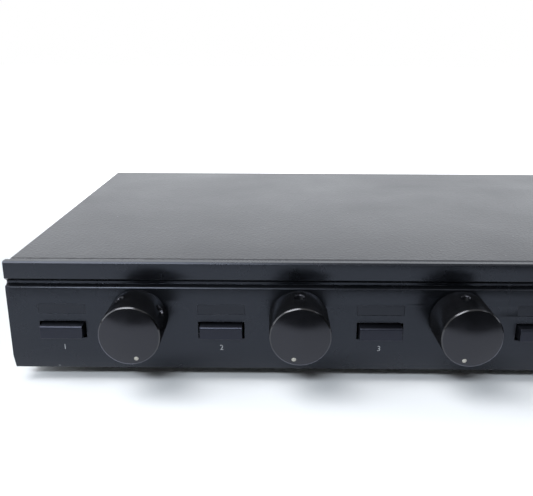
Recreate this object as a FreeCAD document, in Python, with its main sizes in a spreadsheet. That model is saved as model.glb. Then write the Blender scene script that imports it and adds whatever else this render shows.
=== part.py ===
import FreeCAD, Part
import math
import os
import re
import Sketcher
from FreeCAD import Placement, Rotation, Vector

# A six-zone speaker selector: a low steel case with a grooved fascia, and for each zone one
# push key that switches the speakers on and one stepped volume knob. All lengths are in mm.
# X runs to the right along the fascia, Y runs back from it and Z runs up. The origin is at
# the bottom of the feet, in the middle of the overall width and length.

ZONES = 6
POSITIONS = 12
STEP_DEGREES = 30
WAFERS = 2
TERMINAL_WAYS = 4
SPRING_WIRE_SIDES = 8
SET_SCREW_DEGREES = (165, 255)
TOUCH = 0.01
START_RADIUS = 10

SIZES = {
    # fascia
    "panel_width": 445.0,
    "panel_height": 52.45,
    "panel_thickness": 4.5,
    "fascia_drop": 1.0,
    "main_face_height": 40.5,
    "groove_width": 4.0,
    "groove_depth": 2.6,
    "groove_low_slope": 1.0,
    "groove_high_slope": 1.9,
    "lower_chamfer_height": 6.75,
    "lower_chamfer_depth": 2.0,
    "top_bevel": 0.7,
    "top_ledge": 3.5,
    "ledge_rebate": 3.0,
    # steel case
    "sheet_gauge": 1.2,
    "fit_gap": 0.2,
    "cover_inset": 1.2,
    "cover_front_gap": 0.3,
    "cover_drop": 0.15,
    "case_depth": 216.8,
    "cover_bend": 1.0,
    "cover_lip_bend": 1.6,
    "rear_lip": 9.0,
    "front_lip": 7.4,
    "flange_depth": 10.0,
    "tray_lip": 14.0,
    # feet
    "foot_height": 9.0,
    "foot_radius": 9.0,
    "foot_taper": 1.2,
    "foot_recess_radius": 4.4,
    "foot_recess": 4.5,
    "foot_side_margin": 34.0,
    "foot_front_margin": 32.0,
    "foot_rear_margin": 30.0,
    # zones across the fascia
    "key_margin": 24.4,
    "knob_margin": 25.7,
    "key_to_knob": 34.9,
    "key_level": 20.1,
    "knob_level": 27.0,
    # push keys
    "key_width": 19.1,
    "key_height": 6.1,
    "key_gap": 1.0,
    "key_proud": 3.9,
    "key_tail": 8.0,
    "key_round": 1.0,
    "key_edge": 0.3,
    "key_travel": 3.0,
    # label windows over the keys
    "label_width": 21.3,
    "label_height": 4.8,
    "label_level": 30.2,
    "label_recess": 0.4,
    "label_thickness": 0.35,
    "label_gap": 0.1,
    # volume knobs
    "knob_radius": 13.2,
    "knob_gap": 1.0,
    "knob_length": 21.0,
    "knob_crown": 1.6,
    "knob_bevel": 0.6,
    "knob_hollow_radius": 10.0,
    "knob_hollow": 4.0,
    "dot_radius": 1.0,
    "dot_offset": 10.35,
    "dot_depth": 0.3,
    "grub_level": 9.0,
    "grub_radius": 2.0,
    "grub_length": 6.0,
    "grub_mouth_radius": 2.65,
    "grub_mouth": 3.0,
    "grub_hex": 2.0,
    "grub_hex_depth": 2.5,
    "grub_thread_gap": 0.025,
    # rotary selectors
    "shaft_radius": 3.0,
    "shaft_reach": 14.0,
    "shaft_end_gap": 1.0,
    "shaft_seat": 0.05,
    "shaft_end_bevel": 0.5,
    "bearing_clearance": 0.05,
    "bushing_radius": 4.5,
    "bushing_nose": 0.8,
    "bushing_hole_gap": 0.15,
    "fascia_bushing_gap": 0.45,
    "nut_thread_gap": 0.05,
    "nut_flats": 12.0,
    "nut_thickness": 2.5,
    "nut_pocket_radius": 7.6,
    "nut_pocket_depth": 3.0,
    "frame_radius": 12.0,
    "frame_plate": 2.0,
    "star_radius": 8.0,
    "star_thickness": 2.0,
    "star_gap": 1.3,
    "star_notch_radius": 1.1,
    "wafer_thickness": 2.0,
    "wafer_collar": 6.0,
    "wafer_collar_radius": 1.8,
    "wafer_eye_radius": 6.0,
    "rotor_radius": 5.7,
    "rod_offset": 10.1,
    "rod_radius": 1.0,
    "rod_head_radius": 1.8,
    "rod_head": 1.2,
    "rod_gap": 0.05,
    # push switches
    "switch_width": 12.0,
    "switch_height": 11.8,
    "switch_length": 20.0,
    "switch_front": 18.0,
    "switch_wall": 1.5,
    "plunger_size": 4.0,
    "plunger_clearance": 0.3,
    "plunger_tip": 5.0,
    "socket_gap": 0.05,
    "bar_end_gap": 2.0,
    "stem_radius": 1.6,
    "collar_radius": 2.8,
    "collar_thickness": 1.0,
    "collar_gap": 2.0,
    "stop_gap": 0.05,
    "spring_wire_radius": 0.2,
    "spring_radius": 2.1,
    "spring_pitch": 1.1,
    "spring_seat": 0.25,
    # boards
    "board_thickness": 1.6,
    "board_side_gap": 6.0,
    "control_board_front": 8.0,
    "control_board_depth": 52.0,
    "main_board_front": 72.0,
    "main_board_rear_gap": 1.4,
    "main_board_rise": 6.2,
    "standoff_flats": 5.5,
    "standoff_edge": 6.0,
    # step-down transformers
    "core_width": 35.0,
    "core_height": 29.0,
    "core_stack": 14.0,
    "core_limb": 5.8,
    "core_middle_limb": 9.6,
    "winding_build": 6.0,
    "winding_gap": 0.3,
    "cheek": 1.0,
    "winding_inset": 0.8,
    "core_row_inset": 24.0,
    "core_row_pitch": 42.0,
    # speaker terminals
    "terminal_margin": 48.5,
    "terminal_width": 30.5,
    "terminal_height": 15.0,
    "terminal_depth": 24.0,
    "terminal_reach": 9.0,
    "terminal_way": 7.4,
    "terminal_gap": 0.3,
    "wire_entry_width": 3.4,
    "wire_entry_height": 3.8,
    "wire_entry_depth": 7.0,
    "wire_entry_level": 5.0,
    "clamp_screw_radius": 1.9,
    "clamp_hole_gap": 0.1,
    "clamp_screw_length": 7.0,
    "clamp_screw_sunk": 0.5,
    "clamp_screw_inset": 4.5,
    # fasteners
    "screw_radius": 1.45,
    "tapped_hole_radius": 1.5,
    "clear_hole_radius": 1.7,
    "head_radius": 3.1,
    "head_height": 1.2,
    "recess_depth": 0.8,
    "recess_width": 0.8,
    "recess_length": 3.4,
    "short_screw": 3.4,
    "foot_screw": 7.0,
    "fascia_screw": 4.2,
    "fascia_hole": 3.3,
    "board_screw": 5.0,
    "column_gap": 2.0,
    "fascia_screw_low": 11.0,
    "fascia_screw_high": 36.0,
    "side_screw_level": 8.0,
    "side_screw_margin": 34.0,
    "rear_screw_margin": 60.0,
    "flange_screw_inset": 5.0,
}

# Places that follow from the sizes, as formulas on their names.
PLACES = {
    "knob_reach": "knob_gap + knob_length + knob_crown",
    "face_y": "(knob_reach - case_depth - terminal_reach) / 2",
    "panel_back_y": "face_y + panel_thickness",
    "sub_back_y": "panel_back_y + sheet_gauge",
    "cover_y": "panel_back_y + cover_front_gap",
    "rear_y": "face_y + case_depth",
    "rear_panel_y": "rear_y - sheet_gauge - fit_gap",
    "panel_z": "foot_height - fascia_drop",
    "panel_top_z": "panel_z + panel_height",
    "tray_top_z": "foot_height + sheet_gauge",
    "cover_top_z": "panel_top_z - cover_drop",
    "cover_under_z": "cover_top_z - sheet_gauge",
    "sub_top_z": "cover_top_z - front_lip",
    "cover_half": "panel_width / 2 - cover_inset",
    "inner_half": "cover_half - sheet_gauge - fit_gap",
    "zone_pitch": f"(panel_width - key_margin - key_to_knob - knob_margin) / {ZONES - 1}",
    "zone_spacing": "zone_pitch - key_to_knob",
    "terminal_pitch": f"(panel_width - 2 * terminal_margin) / {ZONES}",
    "first_key_x": "key_margin - panel_width / 2",
    "first_knob_x": "first_key_x + key_to_knob",
    "key_z": "panel_z + key_level",
    "knob_z": "panel_z + knob_level",
    "key_opening_half_width": "key_width / 2 + key_gap",
    "key_opening_half_height": "key_height / 2 + key_gap",
    "frame_back": "panel_thickness + sheet_gauge + frame_plate",
    "wafer_step": "wafer_collar + wafer_thickness",
    "bushing_front": "panel_thickness - nut_thickness - bushing_nose",
    "control_board_z": "key_z - switch_height / 2 - board_thickness",
    "main_board_z": "tray_top_z + main_board_rise",
    "main_board_top": "main_board_z + board_thickness",
    "main_board_y": "face_y + main_board_front",
    "main_board_depth": "rear_panel_y - sheet_gauge - main_board_rear_gap - main_board_y",
    "control_board_y": "face_y + control_board_front",
    "terminal_rear_y": "rear_y + terminal_reach",
    "board_half": "inner_half - sheet_gauge - board_side_gap",
    "lip_screw_z": "cover_top_z - rear_lip / 2",
    "side_screw_z": "foot_height + side_screw_level",
    "side_front_y": "face_y + side_screw_margin",
    "side_rear_y": "rear_y - side_screw_margin",
    "front_flange_y": "sub_back_y + flange_screw_inset",
    "rear_flange_y": "rear_panel_y - sheet_gauge - flange_screw_inset",
    "foot_x": "panel_width / 2 - foot_side_margin",
    "foot_front_y": "face_y + foot_front_margin",
    "foot_rear_y": "rear_y - foot_rear_margin",
    "spring_room": "switch_front - key_tail - collar_gap",
    "bar_length": "switch_length - switch_wall - stop_gap - key_travel - bar_end_gap",
    "end_column_x": "inner_half - sheet_gauge - head_radius - column_gap",
    "window_height": "core_height - 2 * core_limb",
    "window_width": "(core_width - core_middle_limb) / 2 - core_limb",
}

doc = FreeCAD.newDocument("speaker_selector")
sheet = doc.addObject("Spreadsheet::Sheet", "Sizes")
for row, (alias, size) in enumerate(SIZES.items(), start=1):
    sheet.set(f"A{row}", alias)
    sheet.set(f"B{row}", str(size))
    sheet.setAlias(f"B{row}", alias)
doc.recompute()

pieces = []


def sized(formula):
    """Writes a formula on size and place names as an expression on the sheet's cells."""

    def cell(match):
        word = match[0]
        if word in PLACES:
            return "(" + sized(PLACES[word]) + ")"
        return "Sizes." + word if word in SIZES else word

    return re.sub(r"[a-z_][a-z0-9_]*", cell, str(formula))


def bind(thing, **formulas):
    """Ties properties of an object to formulas; a double underscore stands for a dot."""
    for name, formula in formulas.items():
        thing.setExpression(name.replace("__", "."), sized(formula))


def place(thing, x="0", y="0", z="0", turn=Rotation()):
    """Puts an object at a place given by formulas, with a fixed turn."""
    thing.Placement = Placement(Vector(), turn)
    bind(thing, Placement__Base__x=x, Placement__Base__y=y, Placement__Base__z=z)
    return thing


def piece(thing, name):
    """Names a finished sub-part, which is written to a file of that name."""
    thing.Label = name
    pieces.append(thing)
    return thing


def new_body(name):
    return doc.addObject("PartDesign::Body", name)


def sketch_on(body, role, name, offset="0"):
    """Adds a sketch on one of the body's own origin planes, moved along its normal."""
    sketch = body.newObject("Sketcher::SketchObject", name)
    plane = next(f for f in body.Origin.OriginFeatures if f.Role == role)
    sketch.AttachmentSupport = (plane, "")
    sketch.MapMode = "FlatFace"
    bind(sketch, AttachmentOffset__Base__z=offset)
    return sketch


def pin(sketch, geometry, point, x, y, guess):
    """Holds a point of a sketch at formulas for its two coordinates."""
    for axis, formula, start in (("X", x, guess[0]), ("Y", y, guess[1])):
        rule = Sketcher.Constraint("Distance" + axis, -1, 1, geometry, point, start)
        number = sketch.addConstraint(rule)
        name = f"at_{axis.lower()}_{geometry}_{point}"
        sketch.renameConstraint(number, name)
        sketch.setExpression("Constraints." + name, sized(formula))


def outline(sketch, corners):
    """Draws a closed outline of straight lines through corners given by formulas."""
    count = len(corners)
    first = sketch.GeometryCount
    ring = [START_RADIUS * Vector(math.cos(a), math.sin(a)) for a in
            (2 * math.pi * n / count for n in range(count))]
    lines = [Part.LineSegment(ring[n], ring[(n + 1) % count]) for n in range(count)]
    sketch.addGeometry(lines)
    joined = [Sketcher.Constraint("Coincident", first + n, 2, first + (n + 1) % count, 1)
              for n in range(count)]
    sketch.addConstraint(joined)
    for n, (x, y) in enumerate(corners):
        pin(sketch, first + n, 1, x, y, (ring[n].x, ring[n].y))


def rectangle(sketch, x0, y0, x1, y1):
    outline(sketch, [(x0, y0), (x1, y0), (x1, y1), (x0, y1)])


def box_about(sketch, x, y, half_width, half_height):
    """Draws a rectangle about its centre."""
    rectangle(sketch, f"{x} - ({half_width})", f"{y} - ({half_height})",
              f"{x} + ({half_width})", f"{y} + ({half_height})")


def circle(sketch, x, y, radius):
    number = sketch.addGeometry(Part.Circle(Vector(), Vector(0, 0, 1), 1.0))
    rule = sketch.addConstraint(Sketcher.Constraint("Radius", number, 1.0))
    sketch.renameConstraint(rule, f"radius_{number}")
    sketch.setExpression(f"Constraints.radius_{number}", sized(radius))
    pin(sketch, number, 3, x, y, (0.0, 0.0))


def hexagon(sketch, x, y, flats):
    """Draws a hexagon from the width across its flats."""
    corners = []
    reach = 1 / math.sqrt(3)
    for n in range(6):
        angle = math.radians(60 * n)
        corners.append((f"{x} + {flats} * {reach * math.cos(angle):.6f}",
                        f"{y} + {flats} * {reach * math.sin(angle):.6f}"))
    outline(sketch, corners)


def pad(body, sketch, length, back=False, both_ways=False):
    feature = body.newObject("PartDesign::Pad", sketch.Name + "_pad")
    feature.Profile = sketch
    feature.Reversed = back
    if both_ways:
        feature.SideType = "Symmetric"
    bind(feature, Length=length)
    sketch.Visibility = False
    return feature


def pocket(body, sketch, depth=None, back=False):
    """Cuts a sketch to a depth against its plane's normal, or right through both ways."""
    feature = body.newObject("PartDesign::Pocket", sketch.Name + "_cut")
    feature.Profile = sketch
    feature.Reversed = back
    if depth is None:
        feature.SideType = "Symmetric"
        feature.Type = "ThroughAll"
    else:
        bind(feature, Length=depth)
    sketch.Visibility = False
    return feature


def turned(body, sketch):
    """Revolves a half section about the sketch's upright axis."""
    feature = body.newObject("PartDesign::Revolution", sketch.Name + "_turned")
    feature.Profile = sketch
    feature.ReferenceAxis = (sketch, ["V_Axis"])
    feature.Angle = 360
    sketch.Visibility = False
    return feature


def drilled(body, name, radius, depth, x="0", y="0", z="0", along=Vector(0, 0, 1)):
    """Cuts a round hole from a place along a direction."""
    feature = body.newObject("PartDesign::SubtractiveCylinder", name)
    bind(feature, Radius=radius, Height=depth)
    place(feature, x, y, z, Rotation(Vector(0, 0, 1), along))
    return feature


def rounded(body, name, radius, chosen):
    """Rounds the edges of the body's tip that a test picks."""
    doc.recompute()
    base = body.Tip
    edges = [f"Edge{n}" for n, edge in enumerate(base.Shape.Edges, start=1) if chosen(edge)]
    feature = body.newObject("PartDesign::Fillet", name)
    feature.Base = (base, edges)
    bind(feature, Radius=radius)
    return feature


def group(name, pattern, spots):
    """Sets copies of a pattern piece at each spot and keeps them as one sub-part."""
    copies = []
    for number, spot in enumerate(spots, start=1):
        copy = doc.addObject("App::Link", f"{name}_{number}")
        copy.LinkedObject = pattern
        copies.append(place(copy, **spot))
    compound = doc.addObject("Part::Compound", name)
    compound.Links = copies
    return piece(compound, name)


# The controls are drawn along their own axis, with local Z pointing forward out of the
# fascia and local Y up, and then turned to face forward.
FORWARD = Rotation(Vector(1, 0, 0), 90)
UPSIDE_DOWN = Rotation(Vector(1, 0, 0), 180)


def key_x(zone):
    return f"first_key_x + {zone} * zone_pitch"


def knob_x(zone):
    return f"first_knob_x + {zone} * zone_pitch"


def zone_x(zone):
    return f"first_key_x + key_to_knob / 2 + {zone} * zone_pitch"


def column_x(gap):
    """Places a screw column in the gap between a zone's knob and the next zone's key."""
    return f"first_knob_x + zone_spacing / 2 + {gap} * zone_pitch"


def terminal_x(number):
    return f"{number - ZONES / 2} * terminal_pitch"


FASCIA_COLUMNS = ["-(end_column_x)", column_x(1), column_x(3), "end_column_x"]
FASCIA_LEVELS = ["panel_z + fascia_screw_low", "panel_z + fascia_screw_high"]
FLANGE_COLUMNS = ["-foot_x", "-foot_x / 3", "foot_x / 3", "foot_x"]
BOARD_COLUMNS = [column_x(gap) for gap in (0, 2, 4)]


# ---------------------------------------------------------------- fascia
def make_front_panel():
    body = new_body("front_panel")
    groove_bottom = "panel_z + main_face_height"
    groove_top = f"{groove_bottom} + groove_width"
    profile = sketch_on(body, "YZ_Plane", "fascia_profile")
    outline(profile, [
        ("face_y + lower_chamfer_depth", "panel_z"),
        ("panel_back_y", "panel_z"),
        ("panel_back_y", "panel_top_z - ledge_rebate"),
        ("face_y + top_ledge", "panel_top_z - ledge_rebate"),
        ("face_y + top_ledge", "panel_top_z"),
        ("face_y + top_bevel", "panel_top_z"),
        ("face_y", "panel_top_z - top_bevel"),
        ("face_y", groove_top),
        ("face_y + groove_depth", f"{groove_top} - groove_high_slope"),
        ("face_y + groove_depth", f"{groove_bottom} + groove_low_slope"),
        ("face_y", groove_bottom),
        ("face_y", "panel_z + lower_chamfer_height"),
    ])
    pad(body, profile, "panel_width", both_ways=True)
    openings = sketch_on(body, "XZ_Plane", "fascia_openings")
    for zone in range(ZONES):
        box_about(openings, key_x(zone), "key_z",
                  "key_opening_half_width", "key_opening_half_height")
        circle(openings, knob_x(zone), "knob_z", "bushing_radius + fascia_bushing_gap")
    pocket(body, openings)
    nut_pockets = sketch_on(body, "XZ_Plane", "nut_pockets", "-(panel_back_y)")
    for zone in range(ZONES):
        circle(nut_pockets, knob_x(zone), "knob_z", "nut_pocket_radius")
    pocket(body, nut_pockets, "nut_pocket_depth", back=True)
    tapped = sketch_on(body, "XZ_Plane", "fascia_tapped_holes", "-(panel_back_y)")
    for x in FASCIA_COLUMNS:
        for z in FASCIA_LEVELS:
            circle(tapped, x, z, "tapped_hole_radius")
    pocket(body, tapped, "fascia_hole", back=True)
    windows = sketch_on(body, "XZ_Plane", "label_windows", "-(face_y)")
    for zone in range(ZONES):
        box_about(windows, key_x(zone), "panel_z + label_level",
                  "label_width / 2", "label_height / 2")
    pocket(body, windows, "label_recess")
    return piece(body, "front_panel")


def make_label_inserts():
    pattern = new_body("label_pattern")
    face = sketch_on(pattern, "XZ_Plane", "label_face")
    box_about(face, "0", "0", "label_width / 2 - label_gap", "label_height / 2 - label_gap")
    pad(pattern, face, "label_thickness")
    spots = [dict(x=key_x(zone), y="face_y + label_recess", z="panel_z + label_level")
             for zone in range(ZONES)]
    group("label_inserts", pattern, spots)


# ---------------------------------------------------------------- steel case
def make_sub_panel():
    body = new_body("sub_panel")
    profile = sketch_on(body, "YZ_Plane", "sub_panel_profile")
    outline(profile, [
        ("panel_back_y", "tray_top_z"),
        ("sub_back_y + flange_depth", "tray_top_z"),
        ("sub_back_y + flange_depth", "tray_top_z + sheet_gauge"),
        ("sub_back_y", "tray_top_z + sheet_gauge"),
        ("sub_back_y", "sub_top_z - sheet_gauge"),
        ("sub_back_y + flange_depth", "sub_top_z - sheet_gauge"),
        ("sub_back_y + flange_depth", "sub_top_z"),
        ("panel_back_y", "sub_top_z"),
    ])
    pad(body, profile, "2 * inner_half", both_ways=True)
    openings = sketch_on(body, "XZ_Plane", "sub_panel_openings")
    for zone in range(ZONES):
        box_about(openings, key_x(zone), "key_z",
                  "key_opening_half_width", "key_opening_half_height")
        circle(openings, knob_x(zone), "knob_z", "bushing_radius + bushing_hole_gap")
    for x in FASCIA_COLUMNS:
        for z in FASCIA_LEVELS:
            circle(openings, x, z, "clear_hole_radius")
    pocket(body, openings)
    holes = sketch_on(body, "XY_Plane", "sub_panel_flange_holes", "tray_top_z")
    for x in FLANGE_COLUMNS:
        circle(holes, x, "front_flange_y", "tapped_hole_radius")
    pocket(body, holes, "sheet_gauge", back=True)
    return piece(body, "sub_panel")


def make_chassis_tray():
    body = new_body("chassis_tray")
    floor = sketch_on(body, "XY_Plane", "tray_floor", "foot_height")
    rectangle(floor, "-(inner_half)", "panel_back_y + fit_gap", "inner_half", "rear_panel_y")
    pad(body, floor, "sheet_gauge")
    lips = sketch_on(body, "XY_Plane", "tray_lips", "foot_height")
    lip_front = "sub_back_y + flange_depth + fit_gap"
    lip_rear = "rear_panel_y - sheet_gauge - flange_depth - fit_gap"
    rectangle(lips, "-(inner_half)", lip_front, "sheet_gauge - inner_half", lip_rear)
    rectangle(lips, "inner_half - sheet_gauge", lip_front, "inner_half", lip_rear)
    pad(body, lips, "tray_lip")
    holes = sketch_on(body, "XY_Plane", "tray_holes")
    for x in ("-foot_x", "foot_x"):
        for y in ("foot_front_y", "foot_rear_y"):
            circle(holes, x, y, "tapped_hole_radius")
    for x in FLANGE_COLUMNS:
        for y in ("front_flange_y", "rear_flange_y"):
            circle(holes, x, y, "clear_hole_radius")
    pocket(body, holes)
    side_holes = sketch_on(body, "YZ_Plane", "tray_side_holes")
    for y in ("side_front_y", "side_rear_y"):
        circle(side_holes, y, "side_screw_z", "tapped_hole_radius")
    pocket(body, side_holes)
    return piece(body, "chassis_tray")


def make_rear_panel():
    body = new_body("rear_panel")
    profile = sketch_on(body, "YZ_Plane", "rear_panel_profile")
    outline(profile, [
        ("rear_panel_y", "tray_top_z"),
        ("rear_panel_y", "cover_under_z - fit_gap"),
        ("rear_panel_y - sheet_gauge", "cover_under_z - fit_gap"),
        ("rear_panel_y - sheet_gauge", "tray_top_z + sheet_gauge"),
        ("rear_panel_y - sheet_gauge - flange_depth", "tray_top_z + sheet_gauge"),
        ("rear_panel_y - sheet_gauge - flange_depth", "tray_top_z"),
    ])
    pad(body, profile, "2 * inner_half", both_ways=True)
    openings = sketch_on(body, "XZ_Plane", "rear_panel_openings", "-(rear_panel_y)")
    for number in range(ZONES + 1):
        box_about(openings, terminal_x(number), "main_board_top + terminal_height / 2",
                  "terminal_width / 2 + terminal_gap", "terminal_height / 2 + terminal_gap")
    for x in ("-(inner_half - rear_screw_margin)", "0", "inner_half - rear_screw_margin"):
        circle(openings, x, "lip_screw_z", "tapped_hole_radius")
    pocket(body, openings, "2 * sheet_gauge", back=True)
    holes = sketch_on(body, "XY_Plane", "rear_flange_holes", "tray_top_z")
    for x in FLANGE_COLUMNS:
        circle(holes, x, "rear_flange_y", "tapped_hole_radius")
    pocket(body, holes, "sheet_gauge", back=True)
    return piece(body, "rear_panel")


def make_top_cover():
    body = new_body("top_cover")
    block = sketch_on(body, "XY_Plane", "cover_block", "foot_height")
    rectangle(block, "-(cover_half)", "cover_y", "cover_half", "rear_y")
    pad(body, block, "cover_top_z - foot_height")
    doc.recompute()
    top = body.Shape.BoundBox.ZMax

    def on_top(edge, direction):
        level = abs(edge.CenterOfMass.z - top) < TOUCH
        return level and edge.tangentAt(edge.FirstParameter).cross(direction).Length < TOUCH

    rounded(body, "cover_side_bends", "cover_bend", lambda e: on_top(e, Vector(0, 1, 0)))
    rounded(body, "cover_lip_bends", "cover_lip_bend", lambda e: on_top(e, Vector(1, 0, 0)))
    inside = sketch_on(body, "XY_Plane", "cover_inside", "foot_height")
    rectangle(inside, "sheet_gauge - cover_half", "cover_y + sheet_gauge",
              "cover_half - sheet_gauge", "rear_y - sheet_gauge")
    pocket(body, inside, "cover_under_z - foot_height", back=True)
    for name, plane_y, bottom in (
            ("front_lip_edge", "cover_y", "cover_top_z - front_lip"),
            ("rear_lip_edge", "rear_y - sheet_gauge", "cover_top_z - rear_lip")):
        edge = sketch_on(body, "XZ_Plane", name, f"-({plane_y})")
        rectangle(edge, "sheet_gauge - cover_half", "foot_height",
                  "cover_half - sheet_gauge", bottom)
        pocket(body, edge, "sheet_gauge")
    side_holes = sketch_on(body, "YZ_Plane", "cover_side_holes")
    for y in ("side_front_y", "side_rear_y"):
        circle(side_holes, y, "side_screw_z", "clear_hole_radius")
    pocket(body, side_holes)
    rear_holes = sketch_on(body, "XZ_Plane", "cover_rear_holes", "-(rear_y - sheet_gauge)")
    for x in ("-(inner_half - rear_screw_margin)", "0", "inner_half - rear_screw_margin"):
        circle(rear_holes, x, "lip_screw_z", "clear_hole_radius")
    pocket(body, rear_holes, "sheet_gauge")
    return piece(body, "top_cover")


# ---------------------------------------------------------------- fasteners and feet
def make_screw(name, length):
    """Makes a pan-head screw standing on Z: the head's underside is at 0, the shank below."""
    body = new_body(name)
    half = sketch_on(body, "XZ_Plane", name + "_half")
    outline(half, [
        ("0", f"-({length})"),
        ("screw_radius", f"-({length})"),
        ("screw_radius", "0"),
        ("head_radius", "0"),
        ("head_radius", "head_height / 2"),
        ("head_radius - head_height / 2", "head_height"),
        ("0", "head_height"),
    ])
    turned(body, half)
    cross = sketch_on(body, "XY_Plane", name + "_cross", "head_height")
    wide = "recess_length / 2"
    thin = "recess_width / 2"
    outline(cross, [
        (wide, f"-{thin}"), (wide, thin), (thin, thin), (thin, wide),
        (f"-{thin}", wide), (f"-{thin}", thin), (f"-{wide}", thin), (f"-{wide}", f"-{thin}"),
        (f"-{thin}", f"-{thin}"), (f"-{thin}", f"-{wide}"), (thin, f"-{wide}"),
        (thin, f"-{thin}"),
    ])
    pocket(body, cross, "recess_depth")
    return body


def make_fasteners():
    short = make_screw("short_screw_pattern", "short_screw")
    foot = make_screw("foot_screw_pattern", "foot_screw")
    fascia = make_screw("fascia_screw_pattern", "fascia_screw")
    board = make_screw("board_screw_pattern", "board_screw")
    rightward = Rotation(Vector(0, 0, 1), Vector(1, 0, 0))
    leftward = Rotation(Vector(0, 0, 1), Vector(-1, 0, 0))
    rearward = Rotation(Vector(0, 0, 1), Vector(0, 1, 0))
    cover_spots = []
    for y in ("side_front_y", "side_rear_y"):
        cover_spots.append(dict(x="-(cover_half)", y=y, z="side_screw_z", turn=leftward))
        cover_spots.append(dict(x="cover_half", y=y, z="side_screw_z", turn=rightward))
    for x in ("-(inner_half - rear_screw_margin)", "0", "inner_half - rear_screw_margin"):
        cover_spots.append(dict(x=x, y="rear_y", z="lip_screw_z", turn=rearward))
    group("cover_screws", short, cover_spots)
    group("chassis_screws", short, [
        dict(x=x, y=y, z="foot_height", turn=UPSIDE_DOWN)
        for x in FLANGE_COLUMNS for y in ("front_flange_y", "rear_flange_y")])
    group("fascia_screws", fascia, [
        dict(x=x, y="sub_back_y", z=z, turn=rearward)
        for x in FASCIA_COLUMNS for z in FASCIA_LEVELS])
    group("foot_screws", foot, [
        dict(x=x, y=y, z="foot_recess", turn=UPSIDE_DOWN)
        for x in ("-foot_x", "foot_x") for y in ("foot_front_y", "foot_rear_y")])
    control = [dict(x=x, y=y, z="control_board_z + board_thickness")
               for x in BOARD_COLUMNS for y in control_rows()]
    main = [dict(x=x, y=y, z="main_board_top") for x in BOARD_COLUMNS for y in main_rows()]
    group("board_screws", board, control + main)


def control_rows():
    return ["sub_back_y + flange_depth + standoff_flats",
            "control_board_y + control_board_depth - standoff_edge"]


def main_rows():
    return ["main_board_y + standoff_edge",
            "main_board_y + main_board_depth / 2"]


def make_rubber_feet():
    pattern = new_body("foot_pattern")
    half = sketch_on(pattern, "XZ_Plane", "foot_half")
    outline(half, [
        ("foot_recess_radius", "0"),
        ("foot_radius - foot_taper", "0"),
        ("foot_radius", "foot_height"),
        ("clear_hole_radius", "foot_height"),
        ("clear_hole_radius", "foot_recess"),
        ("foot_recess_radius", "foot_recess"),
    ])
    turned(pattern, half)
    group("rubber_feet", pattern, [
        dict(x=x, y=y) for x in ("-foot_x", "foot_x") for y in ("foot_front_y", "foot_rear_y")])


# ---------------------------------------------------------------- volume knobs
def set_screw_directions():
    """Points outwards along each set screw, clockwise from the dot on the knob's face."""
    angles = [math.radians(degrees) for degrees in SET_SCREW_DEGREES]
    return [Vector(math.sin(angle), math.cos(angle), 0) for angle in angles]


def make_knob(zone, turn):
    body = new_body(f"knob_{zone + 1}_body")
    rim = "knob_gap + knob_length"
    half = sketch_on(body, "XZ_Plane", f"knob_{zone + 1}_half")
    outline(half, [
        ("knob_hollow_radius", "knob_gap"),
        ("knob_radius", "knob_gap"),
        ("knob_radius", f"{rim} - knob_bevel"),
        ("knob_radius - knob_bevel", rim),
        ("0", "knob_reach"),
        ("0", "shaft_reach + shaft_end_gap"),
        ("shaft_radius + shaft_seat", "shaft_reach + shaft_end_gap"),
        ("shaft_radius + shaft_seat", "knob_gap + knob_hollow"),
        ("knob_hollow_radius", "knob_gap + knob_hollow"),
    ])
    turned(body, half)
    for number, outward in enumerate(set_screw_directions(), start=1):
        drilled(body, f"knob_{zone + 1}_grub_{number}", "grub_radius", "knob_radius",
                z="grub_level", along=outward)
        drilled(body, f"knob_{zone + 1}_mouth_{number}", "grub_mouth_radius", "knob_radius",
                x=f"{outward.x:.6f} * (knob_radius - grub_mouth)",
                y=f"{outward.y:.6f} * (knob_radius - grub_mouth)",
                z="grub_level", along=outward)
    drilled(body, f"knob_{zone + 1}_dot", "dot_radius", "knob_crown + dot_depth",
            y="dot_offset", z=f"{rim} - dot_depth")
    place(body, knob_x(zone), "face_y", "knob_z", turn)
    return piece(body, f"knob_{zone + 1}")


def make_grub_pattern():
    body = new_body("grub_pattern")
    round_bar = sketch_on(body, "XY_Plane", "grub_round")
    circle(round_bar, "0", "0", "grub_radius - grub_thread_gap")
    pad(body, round_bar, "grub_length")
    socket = sketch_on(body, "XY_Plane", "grub_socket", "grub_length")
    hexagon(socket, "0", "0", "grub_hex")
    pocket(body, socket, "grub_hex_depth")
    return body


def make_set_screws(zone, turn, pattern):
    copies = []
    for number, outward in enumerate(set_screw_directions(), start=1):
        copy = doc.addObject("App::Link", f"grub_{zone + 1}_{number}")
        copy.LinkedObject = pattern
        place(copy, f"{outward.x:.6f} * shaft_radius", f"{outward.y:.6f} * shaft_radius",
              "grub_level", Rotation(Vector(0, 0, 1), outward))
        copies.append(copy)
    pair = doc.addObject("Part::Compound", f"set_screws_{zone + 1}")
    pair.Links = copies
    place(pair, knob_x(zone), "face_y", "knob_z", turn)
    return piece(pair, f"knob_set_screws_{zone + 1}")


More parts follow.
